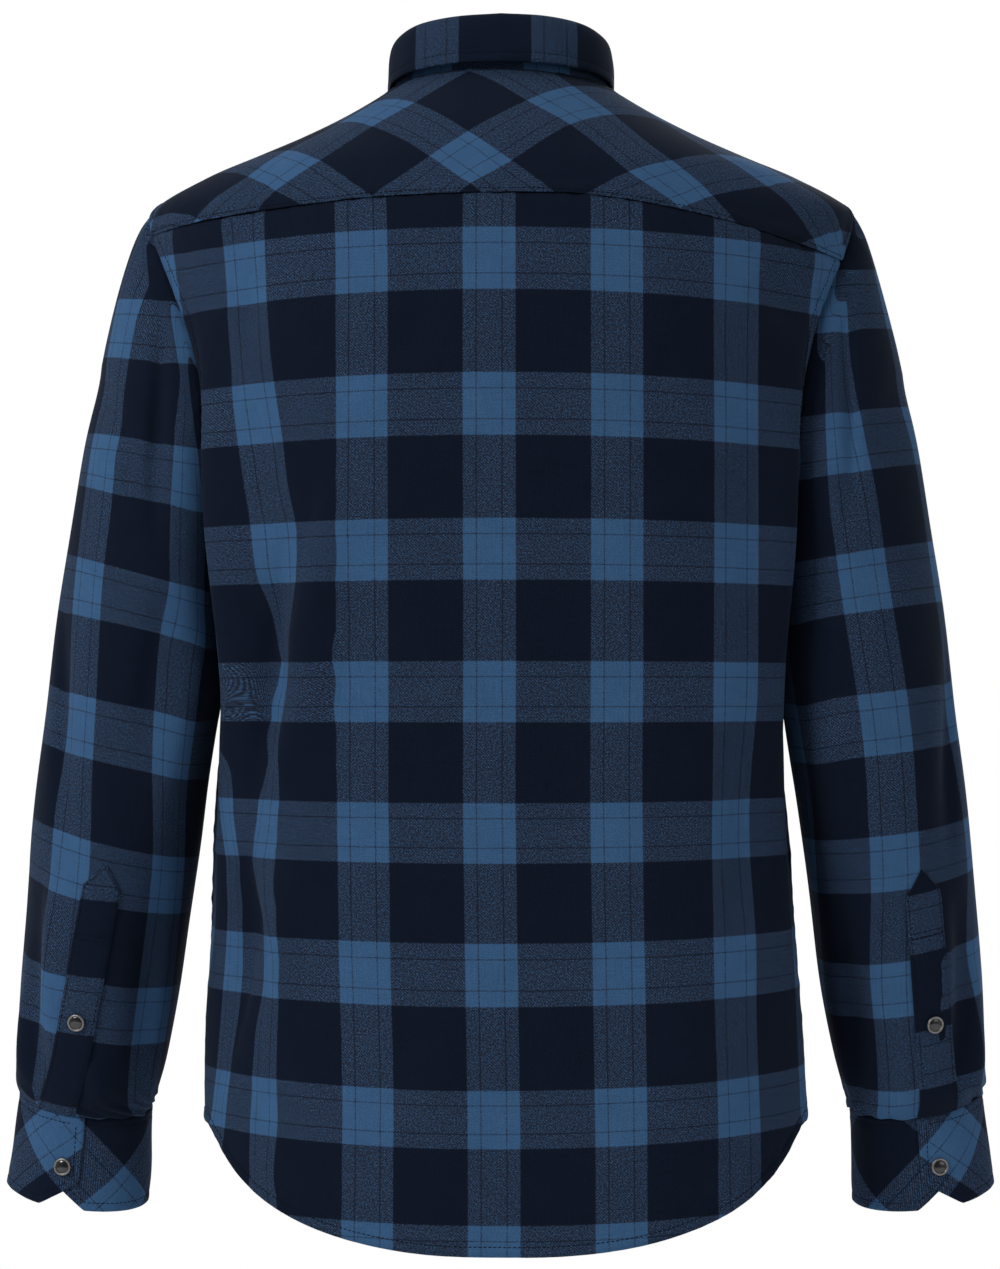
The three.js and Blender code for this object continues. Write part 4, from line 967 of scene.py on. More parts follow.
SLEEVE_FOLDS = {
    # rings from and to, turn from and to, depth, reach to more and to less turn
    1: [
        (0.6, 4.6, 62, 96, -6, 12, 12), (3.5, 8.5, 150, 118, 6, 18, 16), (5.6, 8.6, 20, 64, -6, 14, 9),
        (8, 12.6, 126, 142, -6, 12, 16), (9.4, 12.8, 24, 38, 5, 11, 11), (2.5, 8, -70, -110, -7, 18, 14),
        (6.5, 11.5, -60, -30, 6, 16, 18),
    ],
    -1: [
        (0.6, 4.2, 56, 88, -6, 12, 12), (3.2, 8.8, 146, 122, 6, 18, 16), (6, 9, 16, 54, -6, 14, 9),
        (7.6, 12.6, 132, 146, -7, 12, 16), (9.6, 12.8, 28, 42, 5, 11, 11), (2.5, 8, -74, -104, -7, 18, 14),
        (6.5, 11.5, -64, -34, 6, 16, 18),
    ],
}
SLEEVE_LEVELS = {
    # place in the weave, z on the outer line, z on the inner line
    1: [(90.5, -48, -90), (0, -137, -156), (-90.5, -224, -242), (-181, -302, -332), (-271.5, -386, -411),
        (-362, -472, -499), (-452.5, -562, -583), (-543, -650, -668), (-633.5, -740, -758)],
    -1: [(90.5, -30, -60), (0, -118, -127), (-90.5, -206.5, -221), (-181, -294, -312), (-271.5, -384, -400),
         (-362, -472, -487), (-452.5, -550, -567), (-543, -632, -648), (-633.5, -722, -738)],
}
SLEEVE_CREASES = {
    1: [
        (-6.0, 10, 7, [(300, -500), (304, -540), (305, -590), (303, -625), (297, -655)]),
        (4.0, 8, 9, [(291, -520), (293, -560), (294, -600), (290, -640)]),
        (-3.0, 10, 12, [(215, -330), (222, -380), (232, -425)]),
        (-3.0, 14, 10, [(262, -180), (250, -215), (232, -240)]),
        (3.0, 9, 9, [(268, -632), (262, -648), (258, -660)]),
    ],
    -1: [
        (-5.0, 8, 9, [(-298, -520), (-301, -560), (-300, -610), (-293, -650)]),
        (3.5, 9, 8, [(-288, -540), (-290, -590), (-286, -635)]),
        (-3.0, 12, 12, [(-205, -290), (-212, -350), (-226, -410)]),
        (-3.0, 12, 14, [(-262, -185), (-248, -220), (-232, -246)]),
        (2.5, 9, 9, [(-268, -630), (-262, -648), (-258, -660)]),
    ],
}
SLEEVE_STRIPES = {
    # x and z along the middles of the light stripes on the back, from the outermost stripe inwards
    1: [
        [(224, -80), (243.5, -139), (255.8, -226), (260, -261), (264.5, -310), (271, -396),
         (276.8, -501), (290, -593), (292, -660)],
        [(204, -120), (202.3, -161), (198.4, -255), (200.6, -346), (211.6, -430), (214.2, -515),
         (226.8, -603), (234.5, -643)],
    ],
    -1: [
        [(206, -90), (210, -140), (219, -237), (233, -326), (248, -414), (254, -501),
         (253.5, -584), (261, -650)],
    ],
}


def armhole_bulge(side, phi):
    y, z = armhole_yz(phi)
    share = (z - ARMHOLE_MID_Z) / ARMHOLE_HALF_Z
    flat = (SLEEVE[0, 1] + SLEEVE[0, 3]) / 2 + (SLEEVE[0, 1] - SLEEVE[0, 3]) / 2 * share
    seam = body_point(turn_at_y(y, z, side), z)
    return np.stack([side * seam[..., 0] - flat, seam[..., 1] - y, np.zeros_like(y)], -1)


def sleeve_point(side, phi, step):
    phi, step = np.broadcast_arrays(np.asarray(phi, float), np.asarray(step, float))
    row = row_at(SLEEVE, step)
    _, out_x, out_z, in_x, in_z, mid_y, back, front, egg, dip = np.moveaxis(row, -1, 0)
    c, s = np.cos(phi), np.sin(phi)
    depth = np.where(s > 0, back, front)
    half_x, half_z = (out_x - in_x) / 2, (out_z - in_z) / 2
    point = np.stack([
        (out_x + in_x) / 2 + half_x * c,
        mid_y + depth * s * (1 - egg * c),
        (out_z + in_z) / 2 + half_z * c - dip * s,
    ], -1)
    settle = np.clip(1 - step / ARMHOLE_SETTLE, 0, 1) ** 2
    signed = np.arctan2(np.sin(phi), np.cos(phi))
    point = point + armhole_bulge(side, signed) * settle[..., None]
    length = np.hypot(half_x, half_z)
    radius = np.hypot(length * s, depth * c)
    out = np.zeros_like(c)
    for start, end, turn_start, turn_end, height, more, less in SLEEVE_FOLDS[side]:
        share = (step - start) / (end - start)
        line = np.radians(turn_start + (turn_end - turn_start) * share)
        across = np.arctan2(np.sin(phi - line), np.cos(phi - line)) * radius
        out += fold_height(share, across, height, more, less)
    point[..., 0] += half_x / length * c * out
    point[..., 1] += s * out
    point[..., 2] += half_z / length * c * out
    point[..., 0] *= side
    return point


SLEEVE_COLUMNS, SLEEVE_ROWS = 132, 190


def sleeve_across(side, points, phi):
    """Place across the stripes, measured square to the sleeve from the stripes seen from behind."""
    middles = points.mean(1)
    axis = np.gradient(middles, axis=0)
    axis /= np.linalg.norm(axis, axis=1, keepdims=True)
    steps = np.diff(points, axis=1)
    steps -= np.sum(steps * axis[:, None], -1, keepdims=True) * axis[:, None]
    square = np.concatenate([np.zeros((len(points), 1)), np.cumsum(np.linalg.norm(steps, axis=-1), 1)], 1)
    signed = np.arctan2(np.sin(phi[0]), np.cos(phi[0]))
    behind = np.nonzero((signed >= 0) & (signed <= 3.1))[0]
    behind = behind[np.argsort(signed[behind])]
    places = []
    for line in SLEEVE_STRIPES[side]:
        line = np.array(line, float)
        beyond = side * points[:, behind, 0] - np.interp(-points[:, behind, 2], -line[:, 1], line[:, 0])
        beyond = np.minimum.accumulate(beyond, axis=1)
        found = [np.interp(0, gap[::-1], row[::-1]) for gap, row in zip(beyond, square[:, behind])]
        padded = np.pad(found, 14, mode="edge")
        window = np.hanning(31)[1:-1] / np.hanning(31).sum()
        places.append(np.convolve(padded, window, mode="valid")[:, None])
    across = places[0] - square
    if len(places) > 1:
        between = np.clip(square - places[0], 0, places[1] - places[0])
        across += between * (1 - WARP_PERIOD / (places[1] - places[0]))
    return across


def make_sleeve(side):
    phi = np.linspace(-np.pi, np.pi, SLEEVE_COLUMNS, endpoint=False)[None, :]
    step = np.linspace(0, 13, SLEEVE_ROWS)[:, None]
    phi, step = np.broadcast_arrays(phi, step)
    flat = sleeve_point(side, phi, step)
    order = slice(None) if side > 0 else slice(None, None, -1)
    flat, phi, step = flat[::-1, order], phi[::-1, order], step[::-1, order]
    normals = surface_normals(flat, wraps=True)
    down = arc_from(flat, 0, back=True)
    to_cuff = arc_from(flat, 0)
    round_arc = arc_from(np.concatenate([flat, flat[:, :1]], 1), 1)[:, :-1]
    rows = row_at(SLEEVE, step)
    outer_z, inner_z = rows[..., 2], rows[..., 4]
    levels = np.array(SLEEVE_LEVELS[side])
    by_outer = np.interp(-outer_z, -levels[:, 1], levels[:, 0])
    by_inner = np.interp(-inner_z, -levels[:, 2], levels[:, 0])
    share = (1 + np.cos(phi)) / 2
    along = by_outer * share + by_inner * (1 - share) + WEFT_LIGHT / 2
    weave = np.stack([sleeve_across(side, flat, phi), along], -1)
    cap = smooth((flat[..., 2] + 250) / 60)
    lift = (
        -1.1 * np.exp(-((down / 2.5) ** 2))
        + puckers(71 + side, round_arc, down - 2, 16, 0.7, 13) * cap
        + puckers(74 + side, round_arc, to_cuff, 16, 1.3, 16)
        + 0.7 * ripple(77 + side, flat[..., 0] / 50, flat[..., 2] / 90, flat[..., 1] / 60)
        + creases(flat, SLEEVE_CREASES[side]) * smooth(np.sin(phi) / 0.4 + 0.5)
    )
    points = flat + normals * lift[..., None]
    normals = surface_normals(points, wraps=True)
    word = "left" if side > 0 else "right"
    made = cloth_wall(
        f"sleeve_{word}_panel", points, normals, CLOTH, weave, flannel,
        [f"sleeve_{word}"], wraps=True)
    return made


sleeve_left = make_sleeve(1)
sleeve_right = make_sleeve(-1)


# The cuffs: bias-cut bands of two layers with stiffening between. Each laps over itself behind
# the wrist, with both lower corners cut off slantwise, and closes with one press snap.
CUFF = np.array([
    # z, middle x, half x, middle y, half y
    (-660.5, 274.5, 44, -38, 36.5),
    (-691, 277, 45.4, -41, 37.5),
    (-721, 280, 47, -44, 38.5),
])
CUFF_DIP, CUFF_TILT = 9.0, 0.135
CUFF_OVERLAP, CUFF_MITRE, CUFF_MITRE_RISE, CUFF_FLAP_END_DEG = 18.0, 22.0, 18.0, 93.0
CUFF_ROUND = math.pi * (45.4 + 37.5)
CUFF_LAP = CUFF_OVERLAP / CUFF_ROUND * 2 * math.pi
CUFF_COLUMNS, CUFF_ROWS = 150, 26
CUFF_HEIGHT, CUFF_LIFT = 60.5, 1.9
CUFF_SNAP_DEG, CUFF_SNAP_DOWN = 79.0, 0.56
CUFF_CHECK = {
    # middle of a light check on the flap, and by the under end
    1: ((17.4, -14.0), (50.3, 14.8)),
    -1: ((-23.5, -21.0), (-50.7, -29.1)),
}


def cuff_point(side, phi, down, lift):
    row = row_at(CUFF, CUFF[0, 0] + (CUFF[-1, 0] - CUFF[0, 0]) * down)
    c, s = np.cos(phi), np.sin(phi)
    return np.stack([
        side * (row[..., 1] + (row[..., 2] + lift) * c),
        row[..., 3] + (row[..., 4] + lift) * s,
        row[..., 0] + CUFF_TILT * row[..., 2] * c - CUFF_DIP * s - 0.3,
    ], -1)


def make_cuff(side):
    turn = np.linspace(0, 2 * math.pi + CUFF_LAP, CUFF_COLUMNS)[None, :]
    v = np.linspace(1, 0, CUFF_ROWS)[:, None]
    turn, v = np.broadcast_arrays(turn, v)
    per_radian = CUFF_ROUND / (2 * math.pi)
    to_end = np.minimum(turn, 2 * math.pi + CUFF_LAP - turn) * per_radian
    full = 1 - np.maximum(0, CUFF_MITRE - to_end) / CUFF_MITRE * CUFF_MITRE_RISE / CUFF_HEIGHT
    lift = CUFF_LIFT * (1 - smooth((turn * per_radian - CUFF_OVERLAP - 4) / 22))
    phi = math.radians(CUFF_FLAP_END_DEG) - turn
    laid = np.stack([turn * per_radian * side, -CUFF_HEIGHT * v * full], -1)
    flat = cuff_point(side, phi, v * full, lift)
    if side > 0:
        flat, laid = flat[:, ::-1], laid[:, ::-1]
    normals = surface_normals(flat)
    rim = np.minimum(
        np.minimum(arc_from(flat, 0), arc_from(flat, 0, back=True)),
        np.minimum(arc_from(flat, 1), arc_from(flat, 1, back=True)))
    push = (
        -0.4 * np.exp(-(((rim - 5) / 0.9) ** 2))
        + 0.4 * ripple(81 + side, arc_from(flat, 1) / 50, flat[..., 2] / 40)
        + puckers(84 + side, arc_from(flat, 1), rim - 5, 5, 0.3, 9)
    )
    points = flat + normals * push[..., None]
    normals = surface_normals(points)
    by_flap, by_under = np.array(CUFF_CHECK[side])
    round_share = smooth((np.abs(laid[..., :1]) - 45) / 140)
    weave = bias_weave(laid - by_flap - (by_under - by_flap) * round_share)
    word = "left" if side > 0 else "right"
    made = cloth_wall(
        f"cuff_{word}_band", points, normals, BAND_CLOTH, weave, flannel_bias,
        [f"cuff_{word}"])
    return points, normals


cuff_left_points, cuff_left_normals = make_cuff(1)
cuff_right_points, cuff_right_normals = make_cuff(-1)


# The sleeve plackets: straight strips with a pointed top, folded and topstitched over the slit
# above each cuff, and closed with one press snap.
SLEEVE_PLACKET_WIDTH, SLEEVE_PLACKET_POINT = 24.5, 11.0
SLEEVE_PLACKET_LENGTH, SLEEVE_PLACKET_LIFT = 165.0, 1.9
SLEEVE_PLACKETS = {
    # turn and ring at the top, turn and ring at the bottom, ring of the snap
    1: (91, 8.35, 68, 12.95, 10.35),
    -1: (74, 8.5, 76, 12.95, 10.4),
}
SLEEVE_PLACKET_CHECK = {1: (40.0, -80.0), -1: (40.0, -42.5)}


def sleeve_placket_spot(side, across, along):
    turn_top, step_top, turn_low, step_low, _ = SLEEVE_PLACKETS[side]
    step = step_low + (step_top - step_low) * along
    row = row_at(SLEEVE, step)
    radius = np.hypot((row[..., 1] - row[..., 3]) / 2, (row[..., 6] + row[..., 7]) / 2) / math.sqrt(2)
    turn = turn_low + (turn_top - turn_low) * along
    return np.radians(turn) - across * SLEEVE_PLACKET_WIDTH / 2 / radius, step


def sleeve_face(side, phi, step):
    """Point and outward normal of the sleeve's own surface."""
    point = sleeve_point(side, phi, step)
    along_u = sleeve_point(side, phi + 0.01, step) - sleeve_point(side, phi - 0.01, step)
    along_v = sleeve_point(side, phi, step - 0.01) - sleeve_point(side, phi, step + 0.01)
    normal = np.cross(along_u, along_v) * side
    return point, normal / np.linalg.norm(normal, axis=-1, keepdims=True)


def make_sleeve_placket(side):
    across = np.linspace(-1, 1, 19)[None, :] + np.zeros((76, 1))
    point_share = SLEEVE_PLACKET_POINT / SLEEVE_PLACKET_LENGTH
    along = np.linspace(0, 1, 76)[:, None] * (1 - point_share * np.abs(across))
    phi, step = sleeve_placket_spot(side, across, along)
    flat, out = sleeve_face(side, phi, step)
    if side > 0:
        flat, out, across, along = flat[:, ::-1], out[:, ::-1], across[:, ::-1], along[:, ::-1]
    if np.sum(surface_normals(flat) * out) < 0:
        flat, out, across, along = flat[:, ::-1], out[:, ::-1], across[:, ::-1], along[:, ::-1]
    rim = (1 - np.abs(across)) * SLEEVE_PLACKET_WIDTH / 2
    lift = (
        SLEEVE_PLACKET_LIFT
        - 0.35 * np.exp(-(((rim - 2) / 0.8) ** 2))
        + puckers(91 + side, arc_from(flat, 0), rim - 2, 4, 0.25, 8)
    )
    points = flat + out * lift[..., None]
    normals = surface_normals(points)
    weave = np.stack([-across * SLEEVE_PLACKET_WIDTH / 2 * side, arc_from(flat, 0)], -1)
    weave += SLEEVE_PLACKET_CHECK[side]
    word = "left" if side > 0 else "right"
    made = cloth_wall(
        f"sleeve_{word}_placket_strip", points, normals, PLACKET_CLOTH, weave, flannel,
        [f"sleeve_placket_{word}"])
    return points, normals


placket_left_points, placket_left_normals = make_sleeve_placket(1)
placket_right_points, placket_right_normals = make_sleeve_placket(-1)


# The press snaps: pewter-coloured rings rolled round a dark glossy cap, clinched through the
# cloth. Six close the front, and one each the stand, both sleeve plackets and both cuffs.
SNAP_SEAT = 0.3
FRONT_SNAP_TOP_Z, FRONT_SNAP_PITCH = -104.0, 92.0
snap_seats = {}


def seat_snap(name, point, normal):
    normal = np.asarray(normal, float).reshape(3)
    snap_seats[name] = (np.asarray(point, float).reshape(3), normal / np.linalg.norm(normal))


def body_face(turn, z):
    across = body_point(turn + 0.004, z) - body_point(turn - 0.004, z)
    rising = body_point(turn, z + 0.5) - body_point(turn, z - 0.5)
    normal = np.cross(across, rising)
    return body_point(turn, z), normal / np.linalg.norm(normal)


for index in range(6):
    point, normal = body_face(-np.pi / 2, FRONT_SNAP_TOP_Z - FRONT_SNAP_PITCH * index)
    seat_snap(f"snap_front_{index + 1}", point + normal * (PLACKET_LIFT + SNAP_SEAT), normal)
ahead = np.array([0.0, -1.0, 0.15]) / math.hypot(1, 0.15)
seat_snap("snap_stand", stand_point(np.array(-90.0), np.array(0.5)) + ahead * SNAP_SEAT, ahead)
for side, word in ((1, "left"), (-1, "right")):
    _, step_top, _, step_low, step_snap = SLEEVE_PLACKETS[side]
    along = np.array((step_snap - step_low) / (step_top - step_low))
    phi, step = sleeve_placket_spot(side, np.array(0.0), along)
    point, normal = sleeve_face(side, phi, step)
    seat_snap(f"snap_sleeve_{word}", point + normal * (SLEEVE_PLACKET_LIFT + SNAP_SEAT), normal)
    turn = np.array(math.radians(CUFF_SNAP_DEG))
    down = np.array(CUFF_SNAP_DOWN)
    point = cuff_point(side, turn, down, CUFF_LIFT)
    normal = cuff_point(side, turn, down, CUFF_LIFT + 1) - point
    normal /= np.linalg.norm(normal)
    seat_snap(f"snap_cuff_{word}", point + normal * SNAP_SEAT, normal)


def metal_material(name, colour, roughness, metallic, coat):
    material = bpy.data.materials.new(name)
    material.use_nodes = True
    tree = material.node_tree
    shader = tree.nodes["Principled BSDF"]
    shader.inputs["Metallic"].default_value = metallic
    shader.inputs["Coat Weight"].default_value = coat
    place = tree.nodes.new("ShaderNodeTexCoord").outputs["Object"]
    wear = tree.nodes.new("ShaderNodeTexNoise")
    tree.links.new(place, wear.inputs["Vector"])
    wear.inputs["Scale"].default_value = 900.0
    wear.inputs["Detail"].default_value = 3.0
    worn = math_node(tree, "MULTIPLY_ADD", wear.outputs[0], 0.25, roughness - 0.1)
    tree.links.new(worn, shader.inputs["Roughness"])
    toned = node(tree, "ShaderNodeVectorMath", (colour,), operation="SCALE")
    tree.links.new(math_node(tree, "MULTIPLY_ADD", wear.outputs[0], 0.5, 0.75), toned.node.inputs["Scale"])
    tree.links.new(toned, shader.inputs["Base Color"])
    return material


snap_rim_metal = metal_material("Pewter", (0.17, 0.165, 0.16), 0.36, 0.9, 0.0)
snap_cap_enamel = metal_material("Dark cap", (0.004, 0.0045, 0.006), 0.14, 0.0, 0.25)


def geometry_tree(name, sizes):
    """A Geometry Nodes tree whose points carry an out and an along direction."""
    tree = bpy.data.node_groups.new(name, "GeometryNodeTree")
    tree.interface.new_socket("Points", in_out="INPUT", socket_type="NodeSocketGeometry")
    for label, value in sizes.items():
        socket = tree.interface.new_socket(label, in_out="INPUT", socket_type="NodeSocketFloat")
        socket.default_value = value
    tree.interface.new_socket("Material", in_out="INPUT", socket_type="NodeSocketMaterial")
    tree.interface.new_socket("Result", in_out="OUTPUT", socket_type="NodeSocketGeometry")
    return tree, tree.nodes.new("NodeGroupInput").outputs


def named_vector(tree, name):
    read = tree.nodes.new("GeometryNodeInputNamedAttribute")
    read.data_type = "FLOAT_VECTOR"
    read.inputs["Name"].default_value = name
    return read.outputs["Attribute"]


def set_out(tree, shape, points, material):
    """Copies of a shape on the points, standing out along their directions."""
    align = "FunctionNodeAlignRotationToVector"
    along = node(tree, align, (None, None, named_vector(tree, "along")), axis="X")
    turned = node(tree, align, (along, None, named_vector(tree, "out")), axis="Z", pivot_axis="X")
    copies = tree.nodes.new("GeometryNodeInstanceOnPoints")
    tree.links.new(points, copies.inputs["Points"])
    tree.links.new(shape, copies.inputs["Instance"])
    tree.links.new(turned, copies.inputs["Rotation"])
    real = node(tree, "GeometryNodeRealizeInstances", (copies.outputs[0],))
    painted = tree.nodes.new("GeometryNodeSetMaterial")
    tree.links.new(real, painted.inputs["Geometry"])
    tree.links.new(material, painted.inputs["Material"])
    out = tree.nodes.new("NodeGroupOutput")
    tree.links.new(painted.outputs[0], out.inputs[0])


def grow_on_points(name, tree, points, outs, alongs, material):
    """Runs a tree on points in millimetres and returns the plain mesh that it makes."""
    mesh = bpy.data.meshes.new(name + " points")
    mesh.from_pydata((np.asarray(points) * 0.001).tolist(), [], [])
    for label, vectors in (("out", outs), ("along", alongs)):
        attribute = mesh.attributes.new(label, "FLOAT_VECTOR", "POINT")
        attribute.data.foreach_set("vector", np.asarray(vectors, np.float32).ravel())
    holder = bpy.data.objects.new(name + " points", mesh)
    scene.collection.objects.link(holder)
    modifier = holder.modifiers.new("Grow", "NODES")
    modifier.node_group = tree
    for item in tree.interface.items_tree:
        if item.in_out == "INPUT" and item.name == "Material":
            modifier[item.identifier] = material
    evaluated = holder.evaluated_get(bpy.context.evaluated_depsgraph_get())
    grown = bpy.data.meshes.new_from_object(evaluated)
    grown.name = name
    bpy.data.objects.remove(holder)
    bpy.data.meshes.remove(mesh)
    made = bpy.data.objects.new(name, grown)
    scene.collection.objects.link(made)
    return made


def snap_rim_tree():
    sizes = {"Ring radius": 0.00495, "Roll radius": 0.00078, "Height": 0.0012}
    tree, given = geometry_tree("Snap ring", sizes)
    _, ring_radius, roll_radius, height, material = given[:5]
    ring = tree.nodes.new("GeometryNodeCurvePrimitiveCircle")
    ring.inputs["Resolution"].default_value = 36
    tree.links.new(ring_radius, ring.inputs["Radius"])
    roll = tree.nodes.new("GeometryNodeCurvePrimitiveCircle")
    roll.inputs["Resolution"].default_value = 12
    tree.links.new(roll_radius, roll.inputs["Radius"])
    swept = tree.nodes.new("GeometryNodeCurveToMesh")
    tree.links.new(ring.outputs[0], swept.inputs["Curve"])
    tree.links.new(roll.outputs[0], swept.inputs["Profile Curve"])
    lift = node(tree, "ShaderNodeCombineXYZ", (0.0, 0.0, height))
    raised = tree.nodes.new("GeometryNodeTransform")
    tree.links.new(swept.outputs[0], raised.inputs["Geometry"])
    tree.links.new(lift, raised.inputs["Translation"])
    foot = tree.nodes.new("GeometryNodeMeshCylinder")
    foot.inputs["Vertices"].default_value = 36
    tree.links.new(ring_radius, foot.inputs["Radius"])
    tree.links.new(height, foot.inputs["Depth"])
    half = node(tree, "ShaderNodeCombineXYZ", (0.0, 0.0, math_node(tree, "MULTIPLY", height, 0.5)))
    stood = tree.nodes.new("GeometryNodeTransform")
    tree.links.new(foot.outputs[0], stood.inputs["Geometry"])
    tree.links.new(half, stood.inputs["Translation"])
    both = tree.nodes.new("GeometryNodeJoinGeometry")
    tree.links.new(raised.outputs[0], both.inputs[0])
    tree.links.new(stood.outputs[0], both.inputs[0])
    smooth_shade = node(tree, "GeometryNodeSetShadeSmooth", (both.outputs[0],))
    set_out(tree, smooth_shade, given[0], material)
    return tree


def snap_cap_tree():
    sizes = {"Cap radius": 0.0043, "Dome height": 0.0011, "Base height": 0.0011}
    tree, given = geometry_tree("Snap cap", sizes)
    _, cap_radius, dome_height, base_height, material = given[:5]
    ball = tree.nodes.new("GeometryNodeMeshUVSphere")
    ball.inputs["Segments"].default_value = 32
    ball.inputs["Rings"].default_value = 14
    tree.links.new(cap_radius, ball.inputs["Radius"])
    flatness = math_node(tree, "DIVIDE", dome_height, cap_radius)
    squashed = tree.nodes.new("GeometryNodeTransform")
    tree.links.new(ball.outputs[0], squashed.inputs["Geometry"])
    scale = node(tree, "ShaderNodeCombineXYZ", (1.0, 1.0, flatness))
    rise = node(tree, "ShaderNodeCombineXYZ", (0.0, 0.0, base_height))
    tree.links.new(scale, squashed.inputs["Scale"])
    tree.links.new(rise, squashed.inputs["Translation"])
    smooth_shade = node(tree, "GeometryNodeSetShadeSmooth", (squashed.outputs[0],))
    set_out(tree, smooth_shade, given[0], material)
    return tree


snap_points = np.array([seat[0] for seat in snap_seats.values()])
snap_outs = np.array([seat[1] for seat in snap_seats.values()])
snap_alongs = np.cross(snap_outs, np.array([0.0, 0.0, 1.0]))
snap_alongs /= np.linalg.norm(snap_alongs, axis=1, keepdims=True)
snap_rims = grow_on_points(
    "snap_rims", snap_rim_tree(), snap_points, snap_outs, snap_alongs, snap_rim_metal)
snap_caps = grow_on_points(
    "snap_caps", snap_cap_tree(), snap_points, snap_outs, snap_alongs, snap_cap_enamel)
for made, part in ((snap_rims, "rim"), (snap_caps, "cap")):
    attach(made, "root")
    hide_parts(*[f"{name}_{part}" for name in snap_seats])


# The stitching: navy polyester thread, about eight stitches to the inch. Single rows hold the
# yoke, the felled armholes, the hem, the plackets and the edges of the collar and the cuffs.
STITCH_PITCH = 3.1
thread = bpy.data.materials.new("Navy thread")
thread.use_nodes = True
thread_shader = thread.node_tree.nodes["Principled BSDF"]
thread_shader.inputs["Roughness"].default_value = 0.8
thread_shader.inputs["Specular IOR Level"].default_value = 0.05
thread_place = thread.node_tree.nodes.new("ShaderNodeTexCoord").outputs["Object"]
thread_twist = thread.node_tree.nodes.new("ShaderNodeTexNoise")
thread.node_tree.links.new(thread_place, thread_twist.inputs["Vector"])
thread_twist.inputs["Scale"].default_value = 1500.0
thread_colour = node(thread.node_tree, "ShaderNodeVectorMath", ((0.0035, 0.0055, 0.0115),), operation="SCALE")
thread_tone = math_node(thread.node_tree, "MULTIPLY_ADD", thread_twist.outputs[0], 0.8, 0.6)
thread.node_tree.links.new(thread_tone, thread_colour.node.inputs["Scale"])
thread.node_tree.links.new(thread_colour, thread_shader.inputs["Base Color"])


def stitch_tree():
    sizes = {"Stitch length": 0.0024, "Thread width": 0.00055, "Thread height": 0.00045}
    tree, given = geometry_tree("Stitch row", sizes)
    _, length, width, height, material = given[:5]
    bead = tree.nodes.new("GeometryNodeMeshIcoSphere")
    bead.inputs["Radius"].default_value = 0.5
    bead.inputs["Subdivisions"].default_value = 2
    drawn = tree.nodes.new("GeometryNodeTransform")
    tree.links.new(bead.outputs[0], drawn.inputs["Geometry"])
    tree.links.new(node(tree, "ShaderNodeCombineXYZ", (length, width, height)), drawn.inputs["Scale"])
    smooth_shade = node(tree, "GeometryNodeSetShadeSmooth", (drawn.outputs[0],))
    set_out(tree, smooth_shade, given[0], material)
    return tree


def line_inside(points, normals, axis, distance, back=False):
    """The line on a panel at a distance from one of its edges, with its outward directions."""
    if axis:
        points, normals = points.swapaxes(0, 1), normals.swapaxes(0, 1)
    if back:
        points, normals = points[::-1], normals[::-1]
    arc = arc_from(points, 0)
    distance = np.broadcast_to(distance, arc.shape[1:])
    both = np.concatenate([points, normals], -1)
    line = np.array([
        [np.interp(distance[i], arc[:, i], both[:, i, k]) for k in range(6)]
        for i in range(arc.shape[1])
    ])
    return line[:, :3], line[:, 3:]


def stitches_along(line, outs, start=0.0):
    steps = np.linalg.norm(np.diff(line, axis=0), axis=1)
    arc = np.concatenate([[0], np.cumsum(steps)])
    at = np.arange(start + STITCH_PITCH / 2, arc[-1] - STITCH_PITCH / 2, STITCH_PITCH)
    both = np.concatenate([line, outs], 1)
    here = np.stack([np.interp(at, arc, both[:, k]) for k in range(6)], 1)
    ahead = np.stack([np.interp(at + 0.8, arc, line[:, k]) for k in range(3)], 1)
    behind = np.stack([np.interp(at - 0.8, arc, line[:, k]) for k in range(3)], 1)
    along = ahead - behind
    out = here[:, 3:] / np.linalg.norm(here[:, 3:], axis=1, keepdims=True)
    return here[:, :3] + out * 0.12, out, along / np.linalg.norm(along, axis=1, keepdims=True)


def sew(name, rows):
    parts = zip(*[stitches_along(*row) for row in rows])
    points, outs, alongs = (np.concatenate(part) for part in parts)
    made = grow_on_points(name, stitch_tree(), points, outs, alongs, thread)
    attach(made, "root")


def where(line_and_outs, keep):
    line, outs = line_and_outs
    kept = keep(line)
    return line[kept], outs[kept]


def above_hole(line):
    return line[:, 2] > ARMHOLE_LOW_Z + 6


body_rows = []
for grid, facing_out in (
    (back_points, back_normals),
    (front_left_points, front_left_normals),
    (front_right_points, front_right_normals),
):
    body_rows.append(line_inside(grid, facing_out, 0, HEM_WIDTH - 1))
for flip in (False, True):
    body_rows.append(where(line_inside(back_points, back_normals, 1, FELL_WIDTH, flip), above_hole))
    body_rows.append(line_inside(yoke_points, yoke_normals, 1, 2.2, flip))
    body_rows.append(line_inside(placket_points, placket_normals, 1, 5.5, flip))
body_rows.append(where(line_inside(front_left_points, front_left_normals, 1, FELL_WIDTH, True), above_hole))
body_rows.append(where(line_inside(front_right_points, front_right_normals, 1, FELL_WIDTH), above_hole))
corner_left, corner_right = sorted([
    int(np.argmin(np.linalg.norm(yoke_points[0] - back_points[-1, 0], axis=-1))),
    int(np.argmin(np.linalg.norm(yoke_points[0] - back_points[-1, -1], axis=-1))),
])
yoke_inset = np.full(YOKE_COLUMNS, FELL_WIDTH)
yoke_inset[corner_left:corner_right + 1] = 2.2
yoke_line = line_inside(yoke_points, yoke_normals, 0, yoke_inset)
for part in (slice(0, corner_left), slice(corner_left, corner_right + 1), slice(corner_right + 1, None)):
    body_rows.append((yoke_line[0][part], yoke_line[1][part]))
sew("body_stitches", body_rows)

